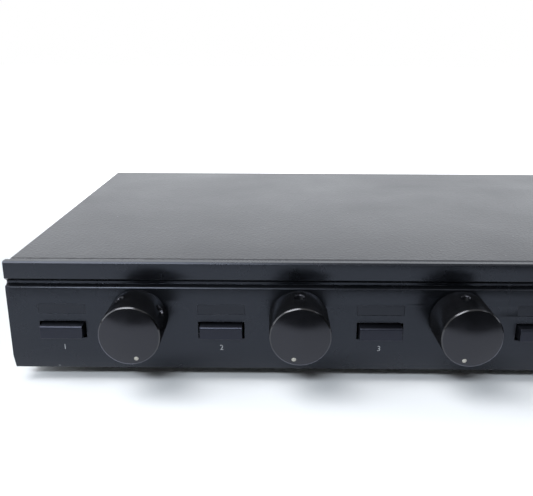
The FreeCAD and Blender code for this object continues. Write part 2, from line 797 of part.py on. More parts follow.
# ---------------------------------------------------------------- rotary selectors
def make_selector_shaft(zone, turn):
    name = f"selector_shaft_{zone + 1}"
    body = new_body(name + "_body")
    star_front = "-(frame_back) - star_gap"
    stations = [("shaft_radius - shaft_end_bevel", "shaft_reach"),
                ("shaft_radius", "shaft_reach - shaft_end_bevel"),
                ("shaft_radius", star_front),
                ("star_radius", star_front),
                ("star_radius", f"{star_front} - star_thickness"),
                ("shaft_radius", f"{star_front} - star_thickness")]
    for step in range(1, WAFERS + 1):
        rotor_back = f"-(frame_back) - {step} * wafer_step"
        stations.append(("shaft_radius", f"{rotor_back} + wafer_thickness"))
        stations.append(("rotor_radius", f"{rotor_back} + wafer_thickness"))
        stations.append(("rotor_radius", rotor_back))
        if step < WAFERS:
            stations.append(("shaft_radius", rotor_back))
    half = sketch_on(body, "XZ_Plane", name + "_half")
    outline(half, [("0", "shaft_reach")] + stations + [("0", rotor_back)])
    turned(body, half)
    notch = sketch_on(body, "XY_Plane", name + "_notch", star_front)
    circle(notch, "0", "star_radius", "star_notch_radius")
    cut = pocket(body, notch, "star_thickness")
    doc.recompute()
    ring = body.newObject("PartDesign::PolarPattern", name + "_star")
    ring.Originals = [cut]
    ring.Axis = (notch, ["N_Axis"])
    ring.Angle = 360
    ring.Occurrences = POSITIONS
    body.Tip = ring
    place(body, knob_x(zone), "face_y", "knob_z", turn)
    return piece(body, name)


def rod_spots(depth):
    """Places a pattern at both tie rods of every selector, at a local depth."""
    return [dict(x=f"{knob_x(zone)} + {side} * rod_offset", y=f"face_y - ({depth})",
                 z="knob_z", turn=FORWARD)
            for zone in range(ZONES) for side in (-1, 1)]


def knob_spots(depth="0"):
    return [dict(x=knob_x(zone), y=f"face_y - ({depth})", z="knob_z", turn=FORWARD)
            for zone in range(ZONES)]


def make_selector_parts():
    frame = new_body("frame_pattern")
    half = sketch_on(frame, "XZ_Plane", "frame_half")
    bore = "shaft_radius + bearing_clearance"
    plate_front = "-(panel_thickness + sheet_gauge)"
    outline(half, [
        (bore, "-(frame_back)"),
        ("frame_radius", "-(frame_back)"),
        ("frame_radius", plate_front),
        ("bushing_radius", plate_front),
        ("bushing_radius", "-(bushing_front)"),
        (bore, "-(bushing_front)"),
    ])
    turned(frame, half)
    eyes = sketch_on(frame, "XY_Plane", "frame_eyes")
    for side in ("-rod_offset", "rod_offset"):
        circle(eyes, side, "0", "rod_radius + rod_gap")
    pocket(frame, eyes)
    group("selector_frames", frame, knob_spots())

    nut = new_body("nut_pattern")
    flats = sketch_on(nut, "XY_Plane", "nut_flats", "-panel_thickness")
    hexagon(flats, "0", "0", "nut_flats")
    circle(flats, "0", "0", "bushing_radius + nut_thread_gap")
    pad(nut, flats, "nut_thickness")
    group("bushing_nuts", nut, knob_spots())

    wafer = new_body("wafer_pattern")
    disc = sketch_on(wafer, "XY_Plane", "wafer_disc")
    circle(disc, "0", "0", "frame_radius")
    circle(disc, "0", "0", "wafer_eye_radius")
    pad(wafer, disc, "wafer_thickness")
    collars = sketch_on(wafer, "XY_Plane", "wafer_collars")
    for side in ("-rod_offset", "rod_offset"):
        circle(collars, side, "0", "wafer_collar_radius")
    pad(wafer, collars, "wafer_step")
    rod_eyes = sketch_on(wafer, "XY_Plane", "wafer_rod_eyes")
    for side in ("-rod_offset", "rod_offset"):
        circle(rod_eyes, side, "0", "rod_radius + rod_gap")
    pocket(wafer, rod_eyes)
    spots = []
    for step in range(1, WAFERS + 1):
        spots += knob_spots(f"-(frame_back) - {step} * wafer_step")
    group("selector_wafers", wafer, spots)

    rod = new_body("rod_pattern")
    rod_half = sketch_on(rod, "XZ_Plane", "rod_half")
    outline(rod_half, [
        ("0", "-rod_head"),
        ("rod_head_radius", "-rod_head"),
        ("rod_head_radius", "0"),
        ("rod_radius", "0"),
        ("rod_radius", f"{WAFERS} * wafer_step + frame_plate"),
        ("0", f"{WAFERS} * wafer_step + frame_plate"),
    ])
    turned(rod, rod_half)
    group("selector_tie_rods", rod, rod_spots(f"-(frame_back) - {WAFERS} * wafer_step"))


# ---------------------------------------------------------------- push keys and switches
def make_key(zone):
    body = new_body(f"key_{zone + 1}_body")
    face = sketch_on(body, "XY_Plane", f"key_{zone + 1}_face", "-key_tail")
    box_about(face, "0", "0", "key_width / 2", "key_height / 2")
    pad(body, face, "key_tail + key_proud")
    doc.recompute()
    front = body.Shape.BoundBox.ZMax
    top = body.Shape.BoundBox.YMax

    def at_front(edge):
        return abs(edge.BoundBox.ZMin - front) < TOUCH

    def upper(edge):
        return abs(edge.BoundBox.YMin - top) < TOUCH

    rounded(body, f"key_{zone + 1}_brow", "key_round", lambda e: at_front(e) and upper(e))
    rounded(body, f"key_{zone + 1}_edges", "key_edge",
            lambda e: at_front(e) and e.BoundBox.YMax < top - 2 * SIZES["key_round"])
    socket = sketch_on(body, "XY_Plane", f"key_{zone + 1}_socket", "-key_tail")
    box_about(socket, "0", "0", "plunger_size / 2 + socket_gap", "plunger_size / 2 + socket_gap")
    pocket(body, socket, "plunger_tip + socket_gap", back=True)
    place(body, key_x(zone), "face_y", "key_z", FORWARD)
    return piece(body, f"key_{zone + 1}")


def make_plunger(zone):
    name = f"switch_plunger_{zone + 1}"
    body = new_body(name + "_body")
    tip_front = "plunger_tip - key_tail"
    collar_front = "-(switch_front - spring_room)"
    tip = sketch_on(body, "XY_Plane", name + "_tip", collar_front)
    box_about(tip, "0", "0", "plunger_size / 2", "plunger_size / 2")
    pad(body, tip, f"{tip_front} - ({collar_front})")
    collar = sketch_on(body, "XY_Plane", name + "_collar", f"{collar_front} - collar_thickness")
    circle(collar, "0", "0", "collar_radius")
    pad(body, collar, "collar_thickness")
    bar_front = "-(switch_front + switch_wall + stop_gap)"
    stem = sketch_on(body, "XY_Plane", name + "_stem", bar_front)
    circle(stem, "0", "0", "stem_radius")
    pad(body, stem, f"{collar_front} - collar_thickness - ({bar_front})")
    bar = sketch_on(body, "XY_Plane", name + "_bar", f"{bar_front} - bar_length")
    box_about(bar, "0", "0", "plunger_size / 2", "plunger_size / 2")
    pad(body, bar, "bar_length")
    place(body, key_x(zone), "face_y", "key_z", FORWARD)
    return piece(body, name)


def make_spring(zone):
    name = f"return_spring_{zone + 1}"
    coil = doc.addObject("Part::Helix", name + "_path")
    bind(coil, Radius="spring_radius", Pitch="spring_pitch",
         Height="spring_room - collar_thickness - 2 * spring_seat")
    wire = doc.addObject("Part::RegularPolygon", name + "_wire")
    wire.Polygon = SPRING_WIRE_SIDES
    bind(wire, Circumradius="spring_wire_radius")
    place(wire, "spring_radius", turn=Rotation(Vector(1, 0, 0), 90))
    swept = doc.addObject("Part::Sweep", name + "_coil")
    swept.Sections = [wire]
    swept.Spine = (coil, [])
    swept.Solid = True
    swept.Frenet = True
    place(swept, key_x(zone), "face_y + switch_front - spring_seat", "key_z", FORWARD)
    return piece(swept, name)


def make_switch_bodies():
    pattern = new_body("switch_pattern")
    rear = "-(switch_front + switch_length)"
    block = sketch_on(pattern, "XY_Plane", "switch_block", rear)
    box_about(block, "0", "0", "switch_width / 2", "switch_height / 2")
    pad(pattern, block, "switch_length")
    channel = sketch_on(pattern, "XY_Plane", "switch_channel", rear)
    box_about(channel, "0", "0", "plunger_size / 2 + plunger_clearance",
              "plunger_size / 2 + plunger_clearance")
    pocket(pattern, channel, "switch_length - switch_wall", back=True)
    mouth = sketch_on(pattern, "XY_Plane", "switch_mouth")
    circle(mouth, "0", "0", "stem_radius + plunger_clearance")
    pocket(pattern, mouth)
    group("push_switch_bodies", pattern, [
        dict(x=key_x(zone), y="face_y", z="key_z", turn=FORWARD) for zone in range(ZONES)])


# ---------------------------------------------------------------- boards
def make_board(name, front, depth, bottom, rows):
    body = new_body(name)
    sheet_of_board = sketch_on(body, "XY_Plane", name + "_outline", bottom)
    rectangle(sheet_of_board, "-(board_half)", front, "board_half", f"{front} + {depth}")
    for x in BOARD_COLUMNS:
        for y in rows:
            circle(sheet_of_board, x, y, "clear_hole_radius")
    pad(body, sheet_of_board, "board_thickness")
    return piece(body, name)


def make_standoff(name, height):
    body = new_body(name)
    hexes = sketch_on(body, "XY_Plane", name + "_hex")
    hexagon(hexes, "0", "0", "standoff_flats")
    circle(hexes, "0", "0", "tapped_hole_radius")
    pad(body, hexes, height)
    return body


def make_boards():
    make_board("control_board", "control_board_y", "control_board_depth",
               "control_board_z", control_rows())
    make_board("main_board", "main_board_y", "main_board_depth", "main_board_z", main_rows())
    tall = make_standoff("tall_standoff_pattern", "control_board_z - (tray_top_z)")
    low = make_standoff("low_standoff_pattern", "main_board_rise")
    copies = []
    for pattern, rows in ((tall, control_rows()), (low, main_rows())):
        for x in BOARD_COLUMNS:
            for y in rows:
                copy = doc.addObject("App::Link", f"standoff_{len(copies) + 1}")
                copy.LinkedObject = pattern
                copies.append(place(copy, x, y, "tray_top_z"))
    compound = doc.addObject("Part::Compound", "board_standoffs")
    compound.Links = copies
    piece(compound, "board_standoffs")


# ---------------------------------------------------------------- transformers
def transformer_spots():
    return [dict(x=zone_x(zone), y=f"main_board_y + core_row_inset + {line} * core_row_pitch",
                 z="main_board_top")
            for line in (0, 1) for zone in range(ZONES)]


def make_transformers():
    core = new_body("core_pattern")
    laminations = sketch_on(core, "XZ_Plane", "core_laminations")
    rectangle(laminations, "-core_width / 2", "0", "core_width / 2", "core_height")
    window_centre = "(core_middle_limb + window_width) / 2"
    for side in ("-1", "1"):
        box_about(laminations, f"{side} * {window_centre}", "core_height / 2",
                  "window_width / 2", "window_height / 2")
    pad(core, laminations, "core_stack", both_ways=True)
    group("transformer_cores", core, transformer_spots())

    winding = new_body("winding_pattern")
    outer_x = "core_middle_limb / 2 + window_width - winding_gap"
    outer_y = "core_stack / 2 + winding_build"
    bottom = "core_limb + winding_gap"
    height = "window_height - 2 * winding_gap"
    for name, level, thickness, inset in (
            ("lower_cheek", bottom, "cheek", "0"),
            ("coil", f"{bottom} + cheek", f"{height} - 2 * cheek", "winding_inset"),
            ("upper_cheek", f"{bottom} + {height} - cheek", "cheek", "0")):
        layer = sketch_on(winding, "XY_Plane", name, level)
        box_about(layer, "0", "0", f"{outer_x} - {inset}", f"{outer_y} - {inset}")
        box_about(layer, "0", "0", "core_middle_limb / 2 + winding_gap",
                  "core_stack / 2 + winding_gap")
        pad(winding, layer, thickness)
    group("transformer_windings", winding, transformer_spots())


# ---------------------------------------------------------------- speaker terminals
def way_x(way):
    return f"{way - (TERMINAL_WAYS - 1) / 2} * terminal_way"


def make_terminals():
    block = new_body("terminal_pattern")
    base = sketch_on(block, "XY_Plane", "terminal_base")
    rectangle(base, "-terminal_width / 2", "-terminal_depth", "terminal_width / 2", "0")
    pad(block, base, "terminal_height")
    entries = sketch_on(block, "XZ_Plane", "wire_entries")
    for way in range(TERMINAL_WAYS):
        box_about(entries, way_x(way), "wire_entry_level",
                  "wire_entry_width / 2", "wire_entry_height / 2")
    pocket(block, entries, "wire_entry_depth", back=True)
    holes = sketch_on(block, "XY_Plane", "clamp_holes", "terminal_height")
    for way in range(TERMINAL_WAYS):
        circle(holes, way_x(way), "-clamp_screw_inset", "clamp_screw_radius + clamp_hole_gap")
    pocket(block, holes, "clamp_screw_length + clamp_screw_sunk")
    spots = [dict(x=terminal_x(number), y="terminal_rear_y", z="main_board_top")
             for number in range(ZONES + 1)]
    group("terminal_blocks", block, spots)

    screw = new_body("clamp_screw_pattern")
    shank = sketch_on(screw, "XY_Plane", "clamp_screw_shank", "-clamp_screw_length")
    circle(shank, "0", "0", "clamp_screw_radius")
    pad(screw, shank, "clamp_screw_length")
    slot = sketch_on(screw, "XY_Plane", "clamp_screw_slot")
    box_about(slot, "0", "0", "2 * clamp_screw_radius", "recess_width / 2")
    pocket(screw, slot, "recess_depth")
    group("terminal_screws", screw, [
        dict(x=f"{terminal_x(number)} + {way_x(way)}", y="terminal_rear_y - clamp_screw_inset",
             z="main_board_top + terminal_height - clamp_screw_sunk")
        for number in range(ZONES + 1) for way in range(TERMINAL_WAYS)])


make_front_panel()
make_label_inserts()
make_sub_panel()
make_chassis_tray()
make_rear_panel()
make_top_cover()
make_rubber_feet()
make_fasteners()
grub = make_grub_pattern()
dot_sweep = (POSITIONS - 1) * STEP_DEGREES / 2
for zone in range(ZONES):
    rest_angle = dot_sweep if zone == 0 else -dot_sweep
    turn = Rotation(Vector(0, 1, 0), rest_angle).multiply(FORWARD)
    make_knob(zone, turn)
    make_set_screws(zone, turn, grub)
    make_selector_shaft(zone, turn)
    make_key(zone)
    make_plunger(zone)
    make_spring(zone)
make_selector_parts()
make_switch_bodies()
make_boards()
make_transformers()
make_terminals()

doc.recompute()
for thing in doc.Objects:
    if "Invalid" in thing.State or "Error" in thing.State:
        raise RuntimeError(f"{thing.Label} did not compute: {thing.State}")
os.makedirs("parts", exist_ok=True)
for thing in pieces:
    shape = thing.Shape
    if shape.isNull() or not shape.isValid():
        raise RuntimeError(f"{thing.Label} has no valid shape")
    shape.exportStep(f"parts/{thing.Label}.step")
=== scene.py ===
import math

import bmesh
import bpy
from mathutils import Matrix, Vector


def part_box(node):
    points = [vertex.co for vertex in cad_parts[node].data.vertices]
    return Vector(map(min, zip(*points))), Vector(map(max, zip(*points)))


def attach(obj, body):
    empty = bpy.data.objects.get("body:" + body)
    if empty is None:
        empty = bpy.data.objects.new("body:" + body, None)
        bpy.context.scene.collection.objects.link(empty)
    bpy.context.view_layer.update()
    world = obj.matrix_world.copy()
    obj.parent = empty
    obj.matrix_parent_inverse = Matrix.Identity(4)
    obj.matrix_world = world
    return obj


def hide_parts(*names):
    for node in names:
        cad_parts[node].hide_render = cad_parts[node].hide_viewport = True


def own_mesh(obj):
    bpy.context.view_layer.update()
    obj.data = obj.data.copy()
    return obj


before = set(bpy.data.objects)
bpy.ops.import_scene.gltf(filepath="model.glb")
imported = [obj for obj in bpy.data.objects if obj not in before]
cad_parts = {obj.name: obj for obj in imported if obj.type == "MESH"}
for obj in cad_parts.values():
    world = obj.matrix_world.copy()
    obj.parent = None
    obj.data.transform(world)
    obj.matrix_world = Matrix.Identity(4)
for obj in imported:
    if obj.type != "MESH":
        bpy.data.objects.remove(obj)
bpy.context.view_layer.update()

face_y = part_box("front_panel")[0].y
panel_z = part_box("front_panel")[0].z

# ------------------------------------------------------------ camera, floor and lamps
# The unit stands on a wide sheet of white card. One softbox hangs high at the front left, a
# cooler one stands low at the front, a wide low one behind and a weak one at either side.
# The camera is low and close to the left half of the fascia.
camera_data = bpy.data.cameras.new("camera")
camera_data.sensor_width = 36
camera_data.lens = 42.98
camera_data.clip_start = 0.005
camera = bpy.data.objects.new("camera", camera_data)
bpy.context.scene.collection.objects.link(camera)
yaw, pitch, roll = -0.0057, 0.3005, 0.0045
stand = Vector((-0.10424, face_y - 0.26542, panel_z + 0.14166))
forward = Vector((math.sin(yaw) * math.cos(pitch), math.cos(yaw) * math.cos(pitch),
                  -math.sin(pitch)))
level = Vector((math.cos(yaw), -math.sin(yaw), 0))
upward = level.cross(forward)
right = math.cos(roll) * level + math.sin(roll) * upward
top = math.cos(roll) * upward - math.sin(roll) * level
camera.matrix_world = Matrix((
    (right.x, top.x, -forward.x, stand.x),
    (right.y, top.y, -forward.y, stand.y),
    (right.z, top.z, -forward.z, stand.z),
    (0, 0, 0, 1)))
bpy.context.scene.camera = camera
bpy.context.scene.view_settings.view_transform = "Standard"


def put(tree, kind, sockets=None, **settings):
    """Adds a node, then links or sets each socket that is named."""
    node = tree.nodes.new(kind)
    for setting, value in settings.items():
        setattr(node, setting, value)
    for socket, value in (sockets or {}).items():
        if isinstance(value, bpy.types.NodeSocket):
            tree.links.new(value, node.inputs[socket])
        else:
            node.inputs[socket].default_value = value
    return node


def object_coords(tree):
    """Gives each point's place on its own piece."""
    return put(tree, "ShaderNodeTexCoord").outputs["Object"]


def maths(tree, kind, *values):
    return put(tree, "ShaderNodeMath", dict(enumerate(values)), operation=kind).outputs[0]


def between(tree, share, low, high, start=0.0, end=1.0):
    """Runs from low to high as the share runs from start to end."""
    return put(tree, "ShaderNodeMapRange", {0: share, 1: start, 2: end, 3: low,
                                            4: high}).outputs[0]


def blank_material(name):
    material = bpy.data.materials.new(name)
    material.use_nodes = True
    material.node_tree.nodes.clear()
    return material, material.node_tree


def new_object(name, mesh):
    thing = bpy.data.objects.new(name, mesh)
    bpy.context.scene.collection.objects.link(thing)
    return thing


def sheet_of(name, corners):
    mesh = bpy.data.meshes.new(name)
    mesh.from_pydata(corners, [], [tuple(range(len(corners)))])
    return new_object(name, mesh)


# Lamps alone light the card near the unit. Further off it fades to a plain white, nearer to
# the unit in front and behind than at its ends.
LIT_WITHIN, WHITE_BEYOND = 0.125, 0.40
floor = sheet_of("floor", [(-6, -6, 0), (6, -6, 0), (6, 6, 0), (-6, 6, 0)])
card, tree = blank_material("white_card")
rays = put(tree, "ShaderNodeLightPath")
drawn_in = put(tree, "ShaderNodeVectorMath", {0: object_coords(tree), 1: (0.35, 1.0, 1.0)},
               operation="MULTIPLY")
away = put(tree, "ShaderNodeVectorMath", {0: drawn_in.outputs[0]}, operation="LENGTH")
glow = between(tree, away.outputs["Value"], 0.0, 1.0, LIT_WITHIN, WHITE_BEYOND)
seen = maths(tree, "MULTIPLY", rays.outputs["Is Camera Ray"], glow)
shader = put(tree, "ShaderNodeBsdfPrincipled", {
    "Base Color": (0.86, 0.87, 0.88, 1), "Roughness": 0.6, "Specular IOR Level": 0.1,
    "Emission Color": (1, 1, 1, 1), "Emission Strength": seen})
put(tree, "ShaderNodeOutputMaterial", {"Surface": shader.outputs[0]})
floor.data.materials.append(card)

# A black sheet stands slantwise in front of the fascia and shows only in glossy reflections. It
# is a painted dark reflection, which darkens the upper part of each knob face and the fascia's
# sheen.
flag = sheet_of("flag", [(-0.5, -0.46, 0.0005), (0.3, -0.15, 0.0005), (0.3, -0.15, 0.24),
                         (-0.5, -0.46, 0.24)])
flag_black, tree = blank_material("flag_black")
shader = put(tree, "ShaderNodeBsdfDiffuse", {"Color": (0.004, 0.004, 0.005, 1)})
put(tree, "ShaderNodeOutputMaterial", {"Surface": shader.outputs[0]})
flag.data.materials.append(flag_black)
flag.visible_camera = flag.visible_diffuse = flag.visible_shadow = False
flag.visible_transmission = False

# The room is dim, paler in reflections, and white where the camera looks past the unit.
ROOM_LIGHT, ROOM_IN_GLOSS = 0.13, 0.62
world = bpy.data.worlds.new("studio")
bpy.context.scene.world = world
world.use_nodes = True
tree = world.node_tree
tree.nodes.clear()
rays = put(tree, "ShaderNodeLightPath")
clear_view = maths(tree, "MAXIMUM", rays.outputs["Is Camera Ray"],
                   rays.outputs["Is Transmission Ray"])
room = between(tree, rays.outputs["Is Glossy Ray"], ROOM_LIGHT, ROOM_IN_GLOSS)
strength = put(tree, "ShaderNodeMix", {0: clear_view, 2: room, 3: 1.0})
sky = put(tree, "ShaderNodeBackground", {"Color": (1, 1, 1, 1), "Strength": strength.outputs[0]})
put(tree, "ShaderNodeOutputWorld", {"Surface": sky.outputs[0]})


def softbox(name, place, aim, size, watts, colour):
    data = bpy.data.lights.new(name, "AREA")
    data.shape = "RECTANGLE"
    data.size, data.size_y = size
    data.energy = watts
    data.color = colour
    lamp = bpy.data.objects.new(name, data)
    bpy.context.scene.collection.objects.link(lamp)
    lamp.location = place
    lamp.rotation_euler = (Vector(aim) - Vector(place)).to_track_quat("-Z", "Y").to_euler()


softbox("high_front", (-0.64, -0.60, 1.3), (-0.1, -0.1, 0), (1.1, 0.8), 17, (0.97, 0.98, 1))
softbox("low_front", (-0.35, -1.2, 0.87), (-0.1, -0.1, 0), (0.5, 0.12), 13, (0.86, 0.93, 1))
softbox("left_side", (-1.1, -0.28, 0.55), (-0.1, -0.12, 0.1), (0.6, 0.9), 3, (0.9, 0.95, 1))
softbox("right_side", (0.95, -0.28, 0.55), (-0.1, -0.12, 0.1), (0.6, 0.9), 3, (0.9, 0.95, 1))
softbox("behind", (0, 1.5, 0.45), (0, 0, 0.05), (2.4, 0.8), 5, (0.86, 0.92, 1))

# ------------------------------------------------------------ front panel
# The fascia is one aluminium extrusion with a machined groove under its top strip and a
# chamfer along its foot, sawn to length, machined and then satin black anodised.


def node_group(name, kind, inputs, outputs):
    """Starts a node group with named sockets and gives its tree, inputs and outputs."""
    tree = bpy.data.node_groups.new(name, kind)
    for direction, sockets in (("INPUT", inputs), ("OUTPUT", outputs)):
        for socket, (socket_kind, value) in sockets.items():
            made = tree.interface.new_socket(socket, in_out=direction, socket_type=socket_kind)
            if value is not None:
                made.default_value = value
    takes, gives = tree.nodes.new("NodeGroupInput"), tree.nodes.new("NodeGroupOutput")
    return tree, takes.outputs, gives.inputs


NUMBER = "NodeSocketFloat"

# Cloudy patches, which show in the gloss as the drift of a finish and old finger marks.
smudges, smudges_in, smudges_out = node_group(
    "smudges", "ShaderNodeTree", {"Scale": (NUMBER, 30.0)}, {"Mask": (NUMBER, None)})
cloud = put(smudges, "ShaderNodeTexNoise", {
    "Vector": object_coords(smudges), "Scale": smudges_in["Scale"], "Detail": 5.0,
    "Roughness": 0.6, "Distortion": 0.4})
smudges.links.new(between(smudges, cloud.outputs[0], 0.0, 1.0, 0.32, 0.68),
                  smudges_out["Mask"])

# Fine height grain, from the pores of a casting to the orange peel of sprayed paint.
grain, grain_in, grain_out = node_group(
    "grain", "ShaderNodeTree", {"Scale": (NUMBER, 3000.0), "Pebble": (NUMBER, 0.3)},
    {"Height": (NUMBER, None)})
fine = put(grain, "ShaderNodeTexNoise", {
    "Vector": object_coords(grain), "Scale": grain_in["Scale"], "Detail": 3.0})
pebbles = put(grain, "ShaderNodeTexVoronoi", {
    "Vector": object_coords(grain), "Scale": grain_in["Scale"]}, feature="SMOOTH_F1")
mixed = put(grain, "ShaderNodeMix", {0: grain_in["Pebble"], 2: fine.outputs[0],
                                     3: pebbles.outputs["Distance"]})
grain.links.new(mixed.outputs[0], grain_out["Height"])

# Lighter edges, from rubbing and, on the fascia, also a painted highlight: where the surface
# turns sharply within the radius, broken up by noise.
edge_wear, edge_marks_in, edge_marks_out = node_group(
    "edge_wear", "ShaderNodeTree", {"Radius": (NUMBER, 0.0004), "Amount": (NUMBER, 0.5)},
    {"Mask": (NUMBER, None)})
rounded = put(edge_wear, "ShaderNodeBevel", {"Radius": edge_marks_in["Radius"]}, samples=4)
crisp = put(edge_wear, "ShaderNodeNewGeometry")
agreement = put(edge_wear, "ShaderNodeVectorMath", {
    0: rounded.outputs[0], 1: crisp.outputs["Normal"]}, operation="DOT_PRODUCT")
sharp = between(edge_wear, agreement.outputs["Value"], 0.0, 1.0, 0.995, 0.86)
edge_breaks = put(edge_wear, "ShaderNodeTexNoise", {
    "Vector": object_coords(edge_wear), "Scale": 260.0, "Detail": 4.0, "Roughness": 0.7})
broken_edges = maths(edge_wear, "MULTIPLY", sharp,
                between(edge_wear, edge_breaks.outputs[0], 0.0, 1.0, 0.46, 0.62))
edge_wear.links.new(maths(edge_wear, "MULTIPLY", broken_edges, edge_marks_in["Amount"]),
                    edge_marks_out["Mask"])

# Dust: small pale specks of different sizes, scattered, more of them on upward faces.
dust, dust_in, dust_out = node_group(
    "dust", "ShaderNodeTree", {"Scale": (NUMBER, 90.0), "Cover": (NUMBER, 0.3)},
    {"Mask": (NUMBER, None)})
specks = put(dust, "ShaderNodeTexVoronoi", {
    "Vector": object_coords(dust), "Scale": dust_in["Scale"]})
chance = put(dust, "ShaderNodeSeparateColor", {0: specks.outputs["Color"]})
near = maths(dust, "LESS_THAN", specks.outputs["Distance"],
             between(dust, chance.outputs[0], 0.015, 0.06))
settled = maths(dust, "LESS_THAN", chance.outputs[1], dust_in["Cover"])
slope = put(dust, "ShaderNodeSeparateXYZ", {
    0: put(dust, "ShaderNodeNewGeometry").outputs["Normal"]})
lying = maths(dust, "MULTIPLY", maths(dust, "MULTIPLY", near, settled),
              between(dust, slope.outputs["Z"], 0.35, 1.0, -0.2, 0.9))
dust.links.new(lying, dust_out["Mask"])


def grouped(tree, group, **sockets):
    node = tree.nodes.new("ShaderNodeGroup")
    node.node_tree = group
    for socket, value in sockets.items():
        node.inputs[socket].default_value = value
    return node


def blended(tree, share, under, over):
    """Mixes two colours by a mask. Each is three numbers or another node's colour."""
    under, over = (colour if isinstance(colour, bpy.types.NodeSocket) else (*colour, 1)
                   for colour in (under, over))
    return put(tree, "ShaderNodeMix", {0: share, 6: under, 7: over},
               data_type="RGBA").outputs[2]


def finish(name, tones, roughness, bump, wear_and_highlight=None, dusty=0.0, drift=30.0, **shader_values):
    """Makes a finish from two tones, two roughnesses and a grain of (scale, height, pebble).

    The lighter edges are (colour, radius, amount): rubbed wear, and on the fascia also a painted
    highlight. Dusty is how much dust has settled.
    """
    material, tree = blank_material(name)
    patches = grouped(tree, smudges, Scale=drift).outputs[0]
    colour = blended(tree, patches, *tones)
    if wear_and_highlight:
        rub_and_highlight = grouped(tree, edge_wear, Radius=wear_and_highlight[1], Amount=wear_and_highlight[2]).outputs[0]
        colour = blended(tree, rub_and_highlight, colour, wear_and_highlight[0])
    gloss = between(tree, patches, *roughness)
    if dusty:
        lint = grouped(tree, dust, Cover=dusty).outputs[0]
        colour = blended(tree, lint, colour, (0.30, 0.30, 0.31))
        gloss = put(tree, "ShaderNodeMix", {0: lint, 2: gloss, 3: 0.9}).outputs[0]
    pores = grouped(tree, grain, Scale=bump[0], Pebble=bump[2] if len(bump) > 2 else 0.3)
    relief = put(tree, "ShaderNodeBump", {"Height": pores.outputs[0], "Distance": bump[1]})
    shader = put(tree, "ShaderNodeBsdfPrincipled", {
        "Base Color": colour, "Roughness": gloss, "Normal": relief.outputs[0],
        **{socket.replace("_", " "): value for socket, value in shader_values.items()}})
    put(tree, "ShaderNodeOutputMaterial", {"Surface": shader.outputs[0]})
    return material


def dress(node, material):
    """Gives a carried-over solid its finish."""
    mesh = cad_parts[node].data
    mesh.materials.clear()
    mesh.materials.append(material)


def resurfaced(node, name, material, edge, segments=2, smooth=30, lip=0):
    """Copies a solid's mesh, joins its triangles into whole faces and softens its edges.

    A lip cuts a flat of that size along the upper edge of the widest front face.
    """
    form = bmesh.new()
    form.from_mesh(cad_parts[node].data)
    bmesh.ops.remove_doubles(form, verts=form.verts, dist=2e-6)
    bmesh.ops.recalc_face_normals(form, faces=form.faces)
    bmesh.ops.dissolve_limit(form, angle_limit=math.radians(0.4), verts=form.verts,
                             edges=form.edges)
    if lip:
        widest = max((side for side in form.faces if side.normal.y < -0.99),
                     key=lambda side: side.calc_area())
        upper = max(widest.edges, key=lambda line: sum(v.co.z for v in line.verts))
        bmesh.ops.bevel(form, geom=[upper], offset=lip, segments=1, affect="EDGES")
    for side in form.faces:
        side.material_index = 0
        side.smooth = True
    mesh = bpy.data.meshes.new(name)
    form.to_mesh(mesh)
    form.free()
    mesh.set_sharp_from_angle(angle=math.radians(smooth))
    mesh.materials.append(material)
    thing = new_object(name, mesh)
    soft = thing.modifiers.new("edges", "BEVEL")
    soft.limit_method = "ANGLE"
    soft.angle_limit = math.radians(smooth)
    soft.width = edge
    soft.segments = segments
    soft.harden_normals = True
    soft.use_clamp_overlap = True
    return thing


def fit(thing, body, slot, *nodes):
    """Fixes a finished piece to the body it moves with, in place of its solids."""
    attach(thing, body)
    if nodes:
        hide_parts(*nodes)
    return thing


# The lighter tone along the fascia's edges is partly rubbed wear and partly a painted highlight,
# such as the bright line along the top edge of the main face.
anodised = finish("satin_black_anodising", ((0.0012, 0.0013, 0.0016), (0.0026, 0.0028, 0.0034)),
                  (0.24, 0.30), (5200.0, 0.000003, 0.2),
                  wear_and_highlight=((0.07, 0.073, 0.082), 0.0004, 0.7), dusty=0.10, IOR=1.5,
                  Specular_Tint=(0.75, 0.82, 1.0, 1))
fit(resurfaced("front_panel", "fascia", anodised, 0.0003, lip=0.0003), "case",
    "black_fascia", "front_panel")

# ------------------------------------------------------------ name strips over the keys
# Each zone has a blank strip of matt black film, cut to size and stuck in a shallow milled
# window, so that a thin dark gap shows all round it.
film = finish("matt_name_film", ((0.0022, 0.0024, 0.0030), (0.0036, 0.0039, 0.0048)),
              (0.30, 0.38), (7000.0, 0.000003), dusty=0.2, IOR=1.48,
              Specular_Tint=(0.77, 0.83, 1.0, 1))
fit(resurfaced("label_inserts", "name_strips", film, 0.00006), "case", "label_film",
    "label_inserts")

# ------------------------------------------------------------ printed zone numbers
# The numbers 1 to 6 are screen printed under the keys in pale grey ink, a few hundredths of
# a millimetre thick, straight on the anodised face.
DIGIT_HEIGHT, DIGIT_LEVEL, BARELY_SUNK = 0.0025, 0.0115, 0.00001
ink = finish("pale_grey_ink", ((0.24, 0.25, 0.26), (0.32, 0.33, 0.34)), (0.5, 0.65),
             (9000.0, 0.000004), drift=900.0)


